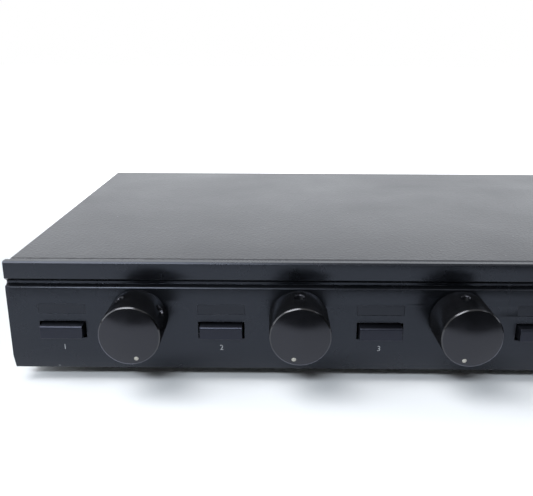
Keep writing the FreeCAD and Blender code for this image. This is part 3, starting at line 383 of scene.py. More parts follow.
def printed(words, height, centre, turned_about=0.0, thickness=0.00003):
    """Makes flat lettering of a given digit height, centred at a place on the case."""
    text = bpy.data.curves.new("lettering", "FONT")
    text.body = words
    text.align_x = "CENTER"
    text.align_y = "CENTER"
    text.size = 1.0
    text.resolution_u = 6
    text.extrude = 0.5
    text.offset = -0.008
    draft = new_object("lettering", text)
    bpy.context.view_layer.update()
    mesh = bpy.data.meshes.new_from_object(
        draft.evaluated_get(bpy.context.evaluated_depsgraph_get()))
    bpy.data.objects.remove(draft)
    rows = [v.co.y for v in mesh.vertices]
    scale = height / (max(rows) - min(rows))
    middle = (max(rows) + min(rows)) / 2
    across = [v.co.x for v in mesh.vertices]
    centre_x = (max(across) + min(across)) / 2
    upright = Matrix.Rotation(turned_about, 4, "Z") @ Matrix.Rotation(math.pi / 2, 4, "X")
    for v in mesh.vertices:
        v.co = Vector(centre) + upright @ Vector(
            ((v.co.x - centre_x) * scale, (v.co.y - middle) * scale, v.co.z * thickness))
    return mesh


def joined(meshes, name, material):
    form = bmesh.new()
    for mesh in meshes:
        form.from_mesh(mesh)
        bpy.data.meshes.remove(mesh)
    bmesh.ops.remove_doubles(form, verts=form.verts, dist=1e-7)
    bmesh.ops.recalc_face_normals(form, faces=form.faces)
    for side in form.faces:
        side.material_index = 0
    mesh = bpy.data.meshes.new(name)
    form.to_mesh(mesh)
    form.free()
    mesh.materials.clear()
    mesh.materials.append(material)
    return new_object(name, mesh)


key_centres = [(low.x + high.x) / 2 for low, high in (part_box(f"key_{zone}")
                                                      for zone in range(1, 7))]
fit(joined([printed(str(zone), DIGIT_HEIGHT, (x, face_y - BARELY_SUNK, panel_z + DIGIT_LEVEL))
            for zone, x in enumerate(key_centres, start=1)], "zone_numbers", ink),
    "case", "label_film")

# ------------------------------------------------------------ push keys
# Six moulded keys in fine matt black plastic. Each has a rounded brow along its top front
# edge, and is pressed onto the plunger of the push switch behind it.
key_plastic = finish("fine_matt_plastic", ((0.0022, 0.0024, 0.0032), (0.0036, 0.0039, 0.0050)),
                     (0.33, 0.41), (4200.0, 0.000005, 0.5),
                     wear_and_highlight=((0.05, 0.05, 0.055), 0.0005, 0.35), dusty=0.12, IOR=1.50,
                     Specular_Tint=(0.66, 0.70, 0.92, 1))
for zone in range(1, 7):
    key = resurfaced(f"key_{zone}", f"push_key_{zone}", key_plastic, 0.00012, smooth=40)
    fit(key, f"key_{zone}", "key_plastic", f"key_{zone}")

# ------------------------------------------------------------ volume knobs
# Turned aluminium knobs with a straight knurl, a diamond-cut chamfer round the rim, a
# shallow crown and black anodising. Two set screws in sunk mouths grip the shaft.
KNOB_RADIUS, KNOB_BACK, KNOB_RIM = 0.0132, 0.001, 0.022
CROWN, CHAMFER, KNURL, DOT_OFFSET = 0.0016, 0.0006, 0.0003, 0.01035
SHAFT_HOLE, HOLE_DEPTH, HOLLOW_RADIUS, HOLLOW_DEPTH = 0.00305, 0.015, 0.01, 0.005
BROKEN_EDGE, CUT_EDGE, FACE_STEPS = 0.0004, 0.0003, 26
face_radius = KNOB_RADIUS - CHAMFER


def crown_at(radius):
    return KNOB_RIM + CROWN * (1 - (radius / face_radius) ** 1.78)


# Each row of the half section: radius, height, how far the knurl cuts in, how far the
# chamfered end of a groove slides along the axis, and whether the cut is bright.
half_section = [
    (0, HOLE_DEPTH, 0, 0, 0), (SHAFT_HOLE, HOLE_DEPTH, 0, 0, 0),
    (SHAFT_HOLE, HOLLOW_DEPTH, 0, 0, 0), (HOLLOW_RADIUS, HOLLOW_DEPTH, 0, 0, 0),
    (HOLLOW_RADIUS, KNOB_BACK + 0.0002, 0, 0, 0), (HOLLOW_RADIUS + 0.0002, KNOB_BACK, 0, 0, 0),
    (KNOB_RADIUS - BROKEN_EDGE, KNOB_BACK, 0, 0, 0),
    (KNOB_RADIUS, KNOB_BACK + BROKEN_EDGE, 1, -1, 0),
    (KNOB_RADIUS, KNOB_BACK + 2 * BROKEN_EDGE, 1, 0, 0),
    (KNOB_RADIUS, KNOB_RIM - CHAMFER - BROKEN_EDGE, 1, 0, 0),
    (KNOB_RADIUS, KNOB_RIM - CHAMFER, 1, 1, 1),
    (face_radius + CUT_EDGE, KNOB_RIM - CUT_EDGE, 0, 0, 1),
    (face_radius + 0.00004, KNOB_RIM - 0.00004, 0, 0, 1),
    (face_radius - 0.00003, crown_at(face_radius - 0.00003), 0, 0, 1)]
for ring in (0.15, *range(1, FACE_STEPS)):
    ring_radius = face_radius * (1 - ring / FACE_STEPS)
    half_section.append((ring_radius, crown_at(ring_radius), 0, 0, 0))
half_section.append((0, crown_at(0), 0, 0, 0))

section_mesh = bpy.data.meshes.new("knob_half_section")
section_mesh.from_pydata([(across, 0, up) for across, up, *_ in half_section],
                         [(n, n + 1) for n in range(len(half_section) - 1)], [])
for entry, attribute in ((2, "knurl"), (3, "slide"), (4, "cut")):
    values = section_mesh.attributes.new(attribute, "FLOAT", "POINT")
    values.data.foreach_set("value", [float(line[entry]) for line in half_section])

knob_black, tree = blank_material("black_anodised_knob")
patches = grouped(tree, smudges, Scale=70.0).outputs[0]
rub_and_highlight = grouped(tree, edge_wear, Radius=0.0002, Amount=0.12).outputs[0]
lint = grouped(tree, dust, Scale=160.0, Cover=0.2).outputs[0]
bright = put(tree, "ShaderNodeAttribute", attribute_name="cut").outputs["Fac"]
dyed = blended(tree, patches, (0.002, 0.0021, 0.0025), (0.004, 0.0042, 0.005))
dusted = blended(tree, lint, blended(tree, rub_and_highlight, dyed, (0.06, 0.061, 0.064)), (0.3, 0.3, 0.3))
shown = blended(tree, bright, dusted, (0.07, 0.071, 0.075))
gloss = put(tree, "ShaderNodeMix", {0: bright, 2: between(tree, patches, 0.17, 0.23), 3: 0.14})
pores = grouped(tree, grain, Scale=6000.0, Pebble=0.2)
relief = put(tree, "ShaderNodeBump", {"Height": pores.outputs[0], "Distance": 0.000002})
shader = put(tree, "ShaderNodeBsdfPrincipled", {
    "Base Color": shown, "Roughness": gloss.outputs[0], "Metallic": bright,
    "Normal": relief.outputs[0], "IOR": 1.53, "Specular Tint": (0.86, 0.87, 1.0, 1)})
put(tree, "ShaderNodeOutputMaterial", {"Surface": shader.outputs[0]})

knob_tree, knob_in, knob_out = node_group("knurled_turning", "GeometryNodeTree", {
    "Half Section": ("NodeSocketGeometry", None), "Ridges": ("NodeSocketInt", 116),
    "Steps": ("NodeSocketInt", 6), "Knurl Depth": (NUMBER, KNURL),
    "Knob Radius": (NUMBER, KNOB_RADIUS), "Screw Level": (NUMBER, 0.009),
    "Mouth Radius": (NUMBER, 0.00265), "Mouth Depth": (NUMBER, 0.003), "Flare": (NUMBER, 0.0004),
    "Ridge Wear": (NUMBER, 0.1), "Bore Radius": (NUMBER, 0.002),
    "Bore Start": (NUMBER, 0.0022), "Bore End": (NUMBER, 0.0115),
    "Dot Radius": (NUMBER, 0.001), "Dot Offset": (NUMBER, DOT_OFFSET),
    "Dot Floor": (NUMBER, KNOB_RIM - 0.0003), "Finish": ("NodeSocketMaterial", None)},
    {"Geometry": ("NodeSocketGeometry", None)})


def worked_out(kind, *values):
    return maths(knob_tree, kind, *values)


section = knob_in["Half Section"]
rows = put(knob_tree, "GeometryNodeAttributeDomainSize", {0: section}).outputs["Point Count"]
columns = worked_out("MULTIPLY", knob_in["Ridges"], knob_in["Steps"])
blank = put(knob_tree, "GeometryNodeMeshGrid", {
    "Vertices X": worked_out("ADD", columns, 1.0), "Vertices Y": rows})
number = put(knob_tree, "GeometryNodeInputIndex").outputs[0]
row = worked_out("MODULO", number, rows)
column = worked_out("FLOOR", worked_out("DIVIDE", number, rows))
angle = worked_out("MULTIPLY", worked_out("DIVIDE", column, columns), 2 * math.pi)


def at_row(name):
    """Reads one of the half section's values at the row that a point belongs to."""
    value = put(knob_tree, "GeometryNodeInputNamedAttribute", {"Name": name})
    return put(knob_tree, "GeometryNodeSampleIndex", {
        0: section, 1: value.outputs[0], "Index": row}).outputs[0]


section_point = put(knob_tree, "GeometryNodeSampleIndex", {
    0: section, 1: put(knob_tree, "GeometryNodeInputPosition").outputs[0], "Index": row},
    data_type="FLOAT_VECTOR")
reach_and_height = put(knob_tree, "ShaderNodeSeparateXYZ", {0: section_point.outputs[0]})
wave = worked_out("COSINE", worked_out("MULTIPLY", angle, knob_in["Ridges"]))
groove = worked_out("MULTIPLY", worked_out(
    "MULTIPLY", worked_out("MULTIPLY_ADD", wave, -0.5, 0.5), knob_in["Knurl Depth"]),
    at_row("knurl"))
reach = worked_out("SUBTRACT", reach_and_height.outputs["X"], groove)
skin_point = put(knob_tree, "ShaderNodeCombineXYZ", {
    0: worked_out("MULTIPLY", reach, worked_out("COSINE", angle)),
    1: worked_out("MULTIPLY", reach, worked_out("SINE", angle)),
    2: worked_out("MULTIPLY_ADD", groove, at_row("slide"), reach_and_height.outputs["Z"])})
turned = put(knob_tree, "GeometryNodeSetPosition", {
    0: blank.outputs["Mesh"], "Position": skin_point.outputs[0]})
ridge = worked_out("MULTIPLY", worked_out("MAXIMUM", wave, 0.0),
                   worked_out("MULTIPLY", at_row("knurl"), knob_in["Ridge Wear"]))
marked = put(knob_tree, "GeometryNodeStoreNamedAttribute", {
    0: turned.outputs[0], "Name": "cut", "Value": worked_out("MAXIMUM", ridge, at_row("cut"))})
closed = put(knob_tree, "GeometryNodeMergeByDistance", {0: marked.outputs[0],
                                                        "Distance": 1e-6})


def shifted(geometry, **change):
    return put(knob_tree, "GeometryNodeTransform", {0: geometry, **change}).outputs[0]


def into_side(bit, tilt, out_to, turn):
    """Lays an upright bit along a spoke of the knob, its middle out at a radius."""
    spoke = put(knob_tree, "ShaderNodeCombineXYZ", {1: out_to, 2: knob_in["Screw Level"]})
    return shifted(shifted(shifted(bit, Rotation=(tilt, 0, 0)), Translation=spoke.outputs[0]),
                   Rotation=(0, 0, -turn))


def drill(radius, length, out_to, turn, sides=40):
    bar = put(knob_tree, "GeometryNodeMeshCylinder", {
        "Vertices": sides, "Radius": radius, "Depth": length})
    return into_side(bar.outputs[0], math.pi / 2, out_to, turn)


def countersink(turn, overlap=0.0002, spare=3.0):
    """Makes the 45 degree bit that breaks a mouth's edge and leaves it bright."""
    flare, mouth = knob_in["Flare"], knob_in["Mouth Radius"]
    bit = put(knob_tree, "GeometryNodeMeshCone", {
        "Vertices": 64, "Radius Top": worked_out("MULTIPLY_ADD", flare, spare, mouth),
        "Radius Bottom": worked_out("SUBTRACT", mouth, overlap),
        "Depth": worked_out("MULTIPLY_ADD", flare, spare, overlap)})
    shiny = put(knob_tree, "GeometryNodeStoreNamedAttribute", {
        0: bit.outputs[0], "Name": "cut", "Value": 1.0})
    start = worked_out("SUBTRACT", worked_out("SUBTRACT", knob_in["Knob Radius"], flare),
                       overlap)
    return into_side(shiny.outputs[0], -math.pi / 2, start, turn)


# The two mouths lie at these angles from the dot, a right angle apart. Each bore starts
# inside the shaft hole, clear of the other bore, and ends inside its mouth.
MOUTH_ANGLES = (165, 255)
cuts = []
bore_length = worked_out("SUBTRACT", knob_in["Bore End"], knob_in["Bore Start"])
bore_middle = worked_out("MULTIPLY", worked_out("ADD", knob_in["Bore End"],
                                                knob_in["Bore Start"]), 0.5)
mouth_length = worked_out("MULTIPLY", knob_in["Mouth Depth"], 2.0)
for degrees in MOUTH_ANGLES:
    turn = math.radians(degrees)
    cuts += [drill(knob_in["Bore Radius"], bore_length, bore_middle, turn),
             drill(knob_in["Mouth Radius"], mouth_length, knob_in["Knob Radius"], turn, 64),
             countersink(turn)]
PIN_LENGTH = 0.004
pin = put(knob_tree, "GeometryNodeMeshCylinder", {
    "Vertices": 40, "Radius": knob_in["Dot Radius"], "Depth": PIN_LENGTH})
pin_middle = put(knob_tree, "ShaderNodeCombineXYZ", {
    1: knob_in["Dot Offset"], 2: worked_out("ADD", knob_in["Dot Floor"], PIN_LENGTH / 2)})
cuts.append(shifted(pin.outputs[0], Translation=pin_middle.outputs[0]))
drilled = put(knob_tree, "GeometryNodeMeshBoolean", {"Self Intersection": True},
              solver="EXACT", operation="DIFFERENCE")
knob_tree.links.new(closed.outputs[0], drilled.inputs["Mesh 1"])
for cut in cuts:
    knob_tree.links.new(cut, drilled.inputs["Mesh 2"])


def end_tree(tree, geometry, material, gives):
    """Ends a geometry tree with real faces in one finish."""
    solid = put(tree, "GeometryNodeRealizeInstances", {0: geometry})
    finished = put(tree, "GeometryNodeSetMaterial", {0: solid.outputs[0],
                                                     "Material": material})
    tree.links.new(finished.outputs[0], gives["Geometry"])


end_tree(knob_tree, drilled.outputs[0], knob_in["Finish"], knob_out)


def grown(source, tree, name, **values):
    """Runs a geometry tree on an object with the given inputs and keeps the plain mesh."""
    growth = source.modifiers.new("growth", "NODES")
    growth.node_group = tree
    for item in tree.interface.items_tree:
        if item.in_out == "INPUT" and item.name in values:
            growth[item.identifier] = values[item.name]
    source.update_tag()
    bpy.context.view_layer.update()
    mesh = bpy.data.meshes.new_from_object(
        source.evaluated_get(bpy.context.evaluated_depsgraph_get()))
    mesh.name = name
    source.modifiers.remove(growth)
    return mesh


def outward(mesh, smooth):
    """Turns every face outwards and marks the edges that stay crisp."""
    form = bmesh.new()
    form.from_mesh(mesh)
    bmesh.ops.recalc_face_normals(form, faces=form.faces)
    for side in form.faces:
        side.smooth = True
    form.to_mesh(mesh)
    form.free()
    mesh.set_sharp_from_angle(angle=math.radians(smooth))


section_object = new_object("knob_half_section", section_mesh)
knob_mesh = grown(section_object, knob_tree, "knob_pattern", Finish=knob_black)
bpy.data.objects.remove(section_object)
outward(knob_mesh, 52)

# The dot is a drop of ivory paint that fills a small drilled recess near the rim.
DOT_SIDES = 32
dot_paint = finish("ivory_dot_paint", ((0.27, 0.26, 0.23), (0.34, 0.33, 0.29)), (0.35, 0.5),
                   (6000.0, 0.000004), drift=1500.0)
dot_form = bmesh.new()
dot_rings = []
for radius, lift in ((0.00097, -0.0004), (0.00097, -0.00008), (0.0009, -0.00003),
                     (0.0006, 0.00001), (0.0003, 0.00003)):
    points = []
    for step in range(DOT_SIDES):
        x = radius * math.cos(2 * math.pi * step / DOT_SIDES)
        y = DOT_OFFSET + radius * math.sin(2 * math.pi * step / DOT_SIDES)
        points.append(dot_form.verts.new((x, y, crown_at(math.hypot(x, y)) + lift)))
    dot_rings.append(points)
for lower, upper in zip(dot_rings, dot_rings[1:]):
    for step in range(DOT_SIDES):
        after = (step + 1) % DOT_SIDES
        dot_form.faces.new((lower[step], lower[after], upper[after], upper[step]))
dot_form.faces.new(dot_rings[-1])
dot_form.faces.new(dot_rings[0][::-1])
dot_mesh = bpy.data.meshes.new("dot_pattern")
dot_form.to_mesh(dot_mesh)
dot_form.free()
outward(dot_mesh, 50)
dot_mesh.materials.append(dot_paint)

set_screw_steel = finish("black_oxide_steel", ((0.02, 0.02, 0.021), (0.035, 0.034, 0.033)),
                         (0.32, 0.5), (5000.0, 0.000004), drift=400.0,
                         wear_and_highlight=((0.20, 0.19, 0.18), 0.0002, 0.6), Metallic=0.6)

# Knob 1 rests at one end of its travel and the others rest at the other end.
END_OF_TRAVEL = 165
face_forward = Matrix.Rotation(math.pi / 2, 4, "X")
for zone in range(1, 7):
    low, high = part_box(f"knob_{zone}")
    axis = Vector(((low.x + high.x) / 2, face_y, (low.z + high.z) / 2))
    dot_turn = math.radians(END_OF_TRAVEL if zone == 1 else -END_OF_TRAVEL)
    set_on = Matrix.Translation(axis) @ Matrix.Rotation(dot_turn, 4, "Y") @ face_forward
    for pattern, piece, replaced in ((knob_mesh, "volume_knob", [f"knob_{zone}"]),
                                     (dot_mesh, "knob_dot", [])):
        mesh = pattern.copy()
        mesh.name = f"{piece}_{zone}"
        mesh.transform(set_on)
        fit(new_object(mesh.name, mesh), f"knob_{zone}", "black_knob", *replaced)
    dress(f"knob_set_screws_{zone}", set_screw_steel)

# ------------------------------------------------------------ top cover
# One steel sheet folded down at the sides, front and rear, and sprayed with a fine textured
# black paint. It drops over the tray and its front lip tucks behind the fascia.
cover_paint = finish("textured_black_paint", ((0.030, 0.031, 0.036), (0.040, 0.041, 0.047)),
                     (0.30, 0.38), (900.0, 0.00022, 0.55),
                     wear_and_highlight=((0.10, 0.10, 0.105), 0.0006, 0.4), dusty=0.25, drift=12.0, IOR=1.55)
fit(resurfaced("top_cover", "cover", cover_paint, 0.0002), "case", "textured_black_paint",
    "top_cover")

# ------------------------------------------------------------ rear panel and tray
# Both are folded from the same steel sheet and sprayed semi-matt black. The rear panel is
# punched for the terminals, and the tray for the screws that hold everything to it.
semi_matt = finish("semi_matt_black_paint", ((0.011, 0.0113, 0.012), (0.015, 0.0153, 0.0165)),
                   (0.36, 0.46), (3600.0, 0.00001, 0.3),
                   wear_and_highlight=((0.16, 0.16, 0.165), 0.0004, 0.5), dusty=0.2, drift=20.0)
fit(resurfaced("rear_panel", "back_plate", semi_matt, 0.00012), "case", "black_paint",
    "rear_panel")
fit(resurfaced("chassis_tray", "base_tray", semi_matt, 0.00012), "case", "black_paint",
    "chassis_tray")

# ------------------------------------------------------------ rear markings
# The zones' numbers are screen printed over their terminals in the same pale grey ink, and
# the polarity of each clamp as a plus or a minus sign.
BLOCK_WIDTH, CLAMP_PITCH = 0.0305, 0.0074
NUMBER_HEIGHT, NUMBER_LEVEL, SIGN_LEVEL = 0.0036, 0.0435, 0.0368
SIGN_HEIGHTS = {"+": 0.0018, "-": 0.0004}
terminal_low, terminal_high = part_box("terminal_blocks")
print_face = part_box("rear_panel")[1].y + BARELY_SUNK
block_span = (terminal_high.x - terminal_low.x - BLOCK_WIDTH) / 6
rear_print = []
for block in range(7):
    x = terminal_high.x - BLOCK_WIDTH / 2 - block * block_span
    if block < 6:
        rear_print.append(printed(str(block + 1), NUMBER_HEIGHT, (x, print_face, NUMBER_LEVEL),
                                  math.pi))
    for way, sign in enumerate("+-+-"):
        clamp_x = x + (1.5 - way) * CLAMP_PITCH
        rear_print.append(printed(sign, SIGN_HEIGHTS[sign], (clamp_x, print_face, SIGN_LEVEL),
                                  math.pi))
fit(joined(rear_print, "rear_markings", ink), "case", "label_film")

# ------------------------------------------------------------ rubber feet
# Four moulded black rubber feet, slightly tapered, each with a deep recess for the plated
# screw that holds it to the tray.
rubber = finish("black_rubber", ((0.018, 0.018, 0.018), (0.028, 0.028, 0.028)), (0.6, 0.75),
                (2400.0, 0.00002), wear_and_highlight=((0.09, 0.088, 0.085), 0.0008, 0.5), dusty=0.3)
fit(resurfaced("rubber_feet", "feet", rubber, 0.0005, segments=3, smooth=35), "case",
    "black_rubber", "rubber_feet")

# ------------------------------------------------------------ case screws
# Black pan-head machine screws with a cross recess hold the cover and the tray, and plated
# ones hold the feet. Each is set out from one pattern screw.
HEAD_RADIUS, HEAD_HEIGHT, SHORT_SHANK, FOOT_SHANK = 0.0031, 0.0012, 0.0034, 0.007
SIDE_SCREW_INSET, LIP_SCREW_INSET = 0.034, 0.060
screw_tree, screw_in, screw_out = node_group("set_out", "GeometryNodeTree", {
    "Spots": ("NodeSocketGeometry", None), "Pattern": ("NodeSocketObject", None),
    "Finish": ("NodeSocketMaterial", None)}, {"Geometry": ("NodeSocketGeometry", None)})
one_screw = put(screw_tree, "GeometryNodeObjectInfo", {"Object": screw_in["Pattern"],
                                                       "As Instance": True})
facing = put(screw_tree, "GeometryNodeInputNamedAttribute", {"Name": "facing"},
             data_type="FLOAT_VECTOR")
spin = put(screw_tree, "GeometryNodeInputNamedAttribute", {"Name": "spin"})
aimed = put(screw_tree, "FunctionNodeAlignRotationToVector", {"Vector": facing.outputs[0]},
            axis="Z")
about_axis = put(screw_tree, "ShaderNodeCombineXYZ", {2: spin.outputs[0]})
driven = put(screw_tree, "FunctionNodeRotateRotation", {
    "Rotation": aimed.outputs[0],
    "Rotate By": put(screw_tree, "FunctionNodeEulerToRotation",
                     {0: about_axis.outputs[0]}).outputs[0]}, rotation_space="LOCAL")
screws = put(screw_tree, "GeometryNodeInstanceOnPoints", {
    "Points": screw_in["Spots"], "Instance": one_screw.outputs["Geometry"],
    "Rotation": driven.outputs[0]})
end_tree(screw_tree, screws.outputs[0], screw_in["Finish"], screw_out)


def lathe(section, sides):
    """Turns a half section of (radius, height) rows about Z into a closed form."""
    form = bmesh.new()
    rings = []
    for radius, height in section:
        if radius == 0:
            rings.append([form.verts.new((0, 0, height))] * sides)
        else:
            rings.append([form.verts.new((radius * math.cos(2 * math.pi * n / sides),
                                          radius * math.sin(2 * math.pi * n / sides),
                                          height)) for n in range(sides)])
    for lower, upper in zip(rings, rings[1:]):
        for n in range(sides):
            after = (n + 1) % sides
            corners = []
            for corner in (lower[n], lower[after], upper[after], upper[n]):
                if corner not in corners:
                    corners.append(corner)
            form.faces.new(corners)
    bmesh.ops.recalc_face_normals(form, faces=form.faces)
    return form


def pan_head_screw(shank):
    """Makes a pan-head screw standing on Z with a cross cut in its domed head."""
    form = lathe([(0, -shank), (0.00115, -shank), (0.00145, -shank + 0.0004), (0.00145, 0),
                  (0.0030, 0), (HEAD_RADIUS, 0.0001), (HEAD_RADIUS, 0.00055),
                  (0.00295, 0.0008), (0.0026, 0.00102), (0.0020, 0.00115),
                  (0.0012, HEAD_HEIGHT), (0, HEAD_HEIGHT)], 32)
    mesh = bpy.data.meshes.new("screw_pattern")
    form.to_mesh(mesh)
    form.free()
    screw = new_object("screw_pattern", mesh)
    cross = bmesh.new()
    foot, rim_z, foot_z = 0.55, 0.0016, 0.0003
    square = ((-1, -1), (1, -1), (1, 1), (-1, 1))
    for wide, thin in ((0.0017, 0.0004), (0.0004, 0.0017)):
        top = [cross.verts.new((x * wide, y * thin, rim_z)) for x, y in square]
        low = [cross.verts.new((x * wide * foot, y * thin * foot, foot_z)) for x, y in square]
        cross.faces.new(top)
        cross.faces.new(low[::-1])
        for n in range(4):
            cross.faces.new((top[(n + 1) % 4], top[n], low[n], low[(n + 1) % 4]))
    bmesh.ops.recalc_face_normals(cross, faces=cross.faces)
    cross_mesh = bpy.data.meshes.new("cross")
    cross.to_mesh(cross_mesh)
    cross.free()
    driver = new_object("cross", cross_mesh)
    cut = screw.modifiers.new("cross", "BOOLEAN")
    cut.operation = "DIFFERENCE"
    cut.solver = "EXACT"
    cut.use_self = True
    cut.object = driver
    bpy.context.view_layer.update()
    mesh = bpy.data.meshes.new_from_object(
        screw.evaluated_get(bpy.context.evaluated_depsgraph_get()))
    bpy.data.objects.remove(driver)
    bpy.data.objects.remove(screw)
    outward(mesh, 32)
    return new_object("screw_pattern", mesh)


def set_out(pattern, spots, name, material):
    """Sets copies of a pattern at spots, each a place, a facing and a spin in degrees."""
    mesh = bpy.data.meshes.new(name + "_spots")
    mesh.from_pydata([spot[0] for spot in spots], [], [])
    ways = mesh.attributes.new("facing", "FLOAT_VECTOR", "POINT")
    ways.data.foreach_set("vector", [axis for spot in spots for axis in spot[1]])
    spins = mesh.attributes.new("spin", "FLOAT", "POINT")
    spins.data.foreach_set("value", [math.radians(spot[2]) for spot in spots])
    spot_object = new_object(name + "_spots", mesh)
    made = grown(spot_object, screw_tree, name, Pattern=pattern, Finish=material)
    bpy.data.objects.remove(spot_object)
    bpy.data.objects.remove(pattern)
    made.set_sharp_from_angle(angle=math.radians(32))
    return new_object(name, made)


black_screw = finish("black_zinc_screw", ((0.022, 0.022, 0.024), (0.04, 0.04, 0.042)),
                     (0.28, 0.42), (4200.0, 0.000005), drift=500.0,
                     wear_and_highlight=((0.24, 0.23, 0.22), 0.0002, 0.7), Metallic=0.7)
plated = finish("clear_zinc_plate", ((0.46, 0.47, 0.49), (0.60, 0.60, 0.60)), (0.26, 0.42),
                (2600.0, 0.000006), drift=120.0, wear_and_highlight=((0.70, 0.69, 0.66), 0.0003, 0.5),
                Metallic=1.0)
case_screw_low, case_screw_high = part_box("cover_screws")
cover_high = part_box("top_cover")[1]
side_z, lip_z = case_screw_low.z + HEAD_RADIUS, case_screw_high.z - HEAD_RADIUS
side_front, side_rear = case_screw_low.y + HEAD_RADIUS, cover_high.y - SIDE_SCREW_INSET
cover_spots = [((side * cover_high.x, y, side_z), (side, 0, 0), 20 + 35 * n)
               for n, (side, y) in enumerate(((-1, side_front), (1, side_front),
                                              (-1, side_rear), (1, side_rear)))]
lip_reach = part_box("rear_panel")[1].x - LIP_SCREW_INSET
cover_spots += [((x, cover_high.y, lip_z), (0, 1, 0), 15 + 27 * n)
                for n, x in enumerate((-lip_reach, 0, lip_reach))]
fit(set_out(pan_head_screw(SHORT_SHANK), cover_spots, "cover_fixings", black_screw), "case",
    "black_screw", "cover_screws")


def underneath(xs, ys, z, first_spin, further):
    """Lists spots that face down, in files from front to rear, each driven further round."""
    places = [(x, y, z) for x in xs for y in ys]
    return [(place, (0, 0, -1), first_spin + further * n) for n, place in enumerate(places)]


tray_low, tray_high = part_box("chassis_screws")
tray_x, tray_under = tray_high.x - HEAD_RADIUS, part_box("chassis_tray")[0].z
tray_spots = underneath((-tray_x, -tray_x / 3, tray_x / 3, tray_x),
                        (tray_low.y + HEAD_RADIUS, tray_high.y - HEAD_RADIUS),
                        tray_under, 12, 31)
fit(set_out(pan_head_screw(SHORT_SHANK), tray_spots, "tray_fixings", black_screw), "case",
    "black_screw", "chassis_screws")

foot_low, foot_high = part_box("foot_screws")
foot_spots = underneath((foot_low.x + HEAD_RADIUS, foot_high.x - HEAD_RADIUS),
                        (foot_low.y + HEAD_RADIUS, foot_high.y - HEAD_RADIUS),
                        foot_low.z + HEAD_HEIGHT, 8, 52)
fit(set_out(pan_head_screw(FOOT_SHANK), foot_spots, "foot_fixings", plated), "case",
    "zinc_screw", "foot_screws")

# ------------------------------------------------------------ speaker terminals
# Seven moulded black screw-clamp blocks come through the rear panel, one for the amplifier
# and one for each zone, each with four wire entries and four plated clamp screws.
terminal_black = finish("terminal_plastic", ((0.014, 0.014, 0.0145), (0.02, 0.02, 0.021)),
                        (0.28, 0.40), (3200.0, 0.000008, 0.4), dusty=0.25,
                        wear_and_highlight=((0.07, 0.07, 0.07), 0.0004, 0.3))
fit(resurfaced("terminal_blocks", "clamp_blocks", terminal_black, 0.0002), "case",
    "terminal_plastic", "terminal_blocks")
nickel = finish("nickel_plate", ((0.56, 0.54, 0.50), (0.68, 0.66, 0.62)), (0.2, 0.34),
                (3000.0, 0.000004), drift=160.0, wear_and_highlight=((0.78, 0.74, 0.66), 0.0003, 0.5),
                Metallic=1.0)
fit(resurfaced("terminal_screws", "clamp_fixings", nickel, 0.0001), "case", "nickel",
    "terminal_screws")

# ------------------------------------------------------------ inner front plate
# A folded, zinc-plated steel plate behind the fascia carries the rotary selectors. The
# fascia is drawn against it by eight short screws from behind.


def figured(material, mask, height, tones, roughness, drift, depth, metallic=0.0):
    """Gives a material two tones and a relief that follow its own pattern."""
    tree = material.node_tree
    patches = grouped(tree, smudges, Scale=drift).outputs[0]
    relief = put(tree, "ShaderNodeBump", {"Height": height, "Distance": depth})
    shader = put(tree, "ShaderNodeBsdfPrincipled", {
        "Base Color": blended(tree, mask, *tones), "Metallic": metallic,
        "Roughness": between(tree, patches, *roughness), "Normal": relief.outputs[0]})
    put(tree, "ShaderNodeOutputMaterial", {"Surface": shader.outputs[0]})


zinc_sheet, tree = blank_material("passivated_zinc_sheet")
spangle = put(tree, "ShaderNodeTexVoronoi", {"Vector": object_coords(tree), "Scale": 140.0})
leaf = put(tree, "ShaderNodeSeparateColor", {0: spangle.outputs["Color"]})
figured(zinc_sheet, leaf.outputs[0], leaf.outputs[1], ((0.52, 0.54, 0.56), (0.64, 0.66, 0.67)),
        (0.28, 0.46), 24.0, 0.000003, metallic=1.0)
dress("sub_panel", zinc_sheet)
dress("fascia_screws", plated)

# ------------------------------------------------------------ rotary selectors
# Each knob's shaft runs in a die-cast bearing plate that is held by a plated nut, and carries
# a detent star and two rotors that wipe round two phenolic wafers on tie rods.
cast = finish("die_cast_zinc", ((0.40, 0.40, 0.41), (0.52, 0.52, 0.52)), (0.4, 0.55),
              (1800.0, 0.00002), drift=90.0, Metallic=1.0)
phenolic = finish("brown_phenolic", ((0.17, 0.075, 0.03), (0.23, 0.11, 0.045)), (0.42, 0.55),
                  (2200.0, 0.00001), drift=260.0, wear_and_highlight=((0.32, 0.19, 0.10), 0.0003, 0.4))
for zone in range(1, 7):
    dress(f"selector_shaft_{zone}", nickel)
dress("selector_frames", cast)
dress("bushing_nuts", nickel)
dress("selector_wafers", phenolic)
dress("selector_tie_rods", plated)

# ------------------------------------------------------------ push switches
# A moulded latching switch stands behind each key on the control board. Its white plunger
# reaches into the key, and a coil spring of drawn wire pushes the two back out.
switch_plastic = finish("switch_housing_plastic", ((0.02, 0.02, 0.022), (0.03, 0.03, 0.032)),
                        (0.34, 0.46), (3000.0, 0.000008), dusty=0.1)
plunger_white = finish("white_acetal", ((0.68, 0.68, 0.66), (0.76, 0.76, 0.73)), (0.3, 0.42),
                       (2600.0, 0.000005), drift=120.0)
spring_steel = finish("drawn_spring_wire", ((0.42, 0.41, 0.40), (0.55, 0.54, 0.52)),
                      (0.22, 0.34), (6000.0, 0.000003), drift=400.0, Metallic=1.0)
dress("push_switch_bodies", switch_plastic)

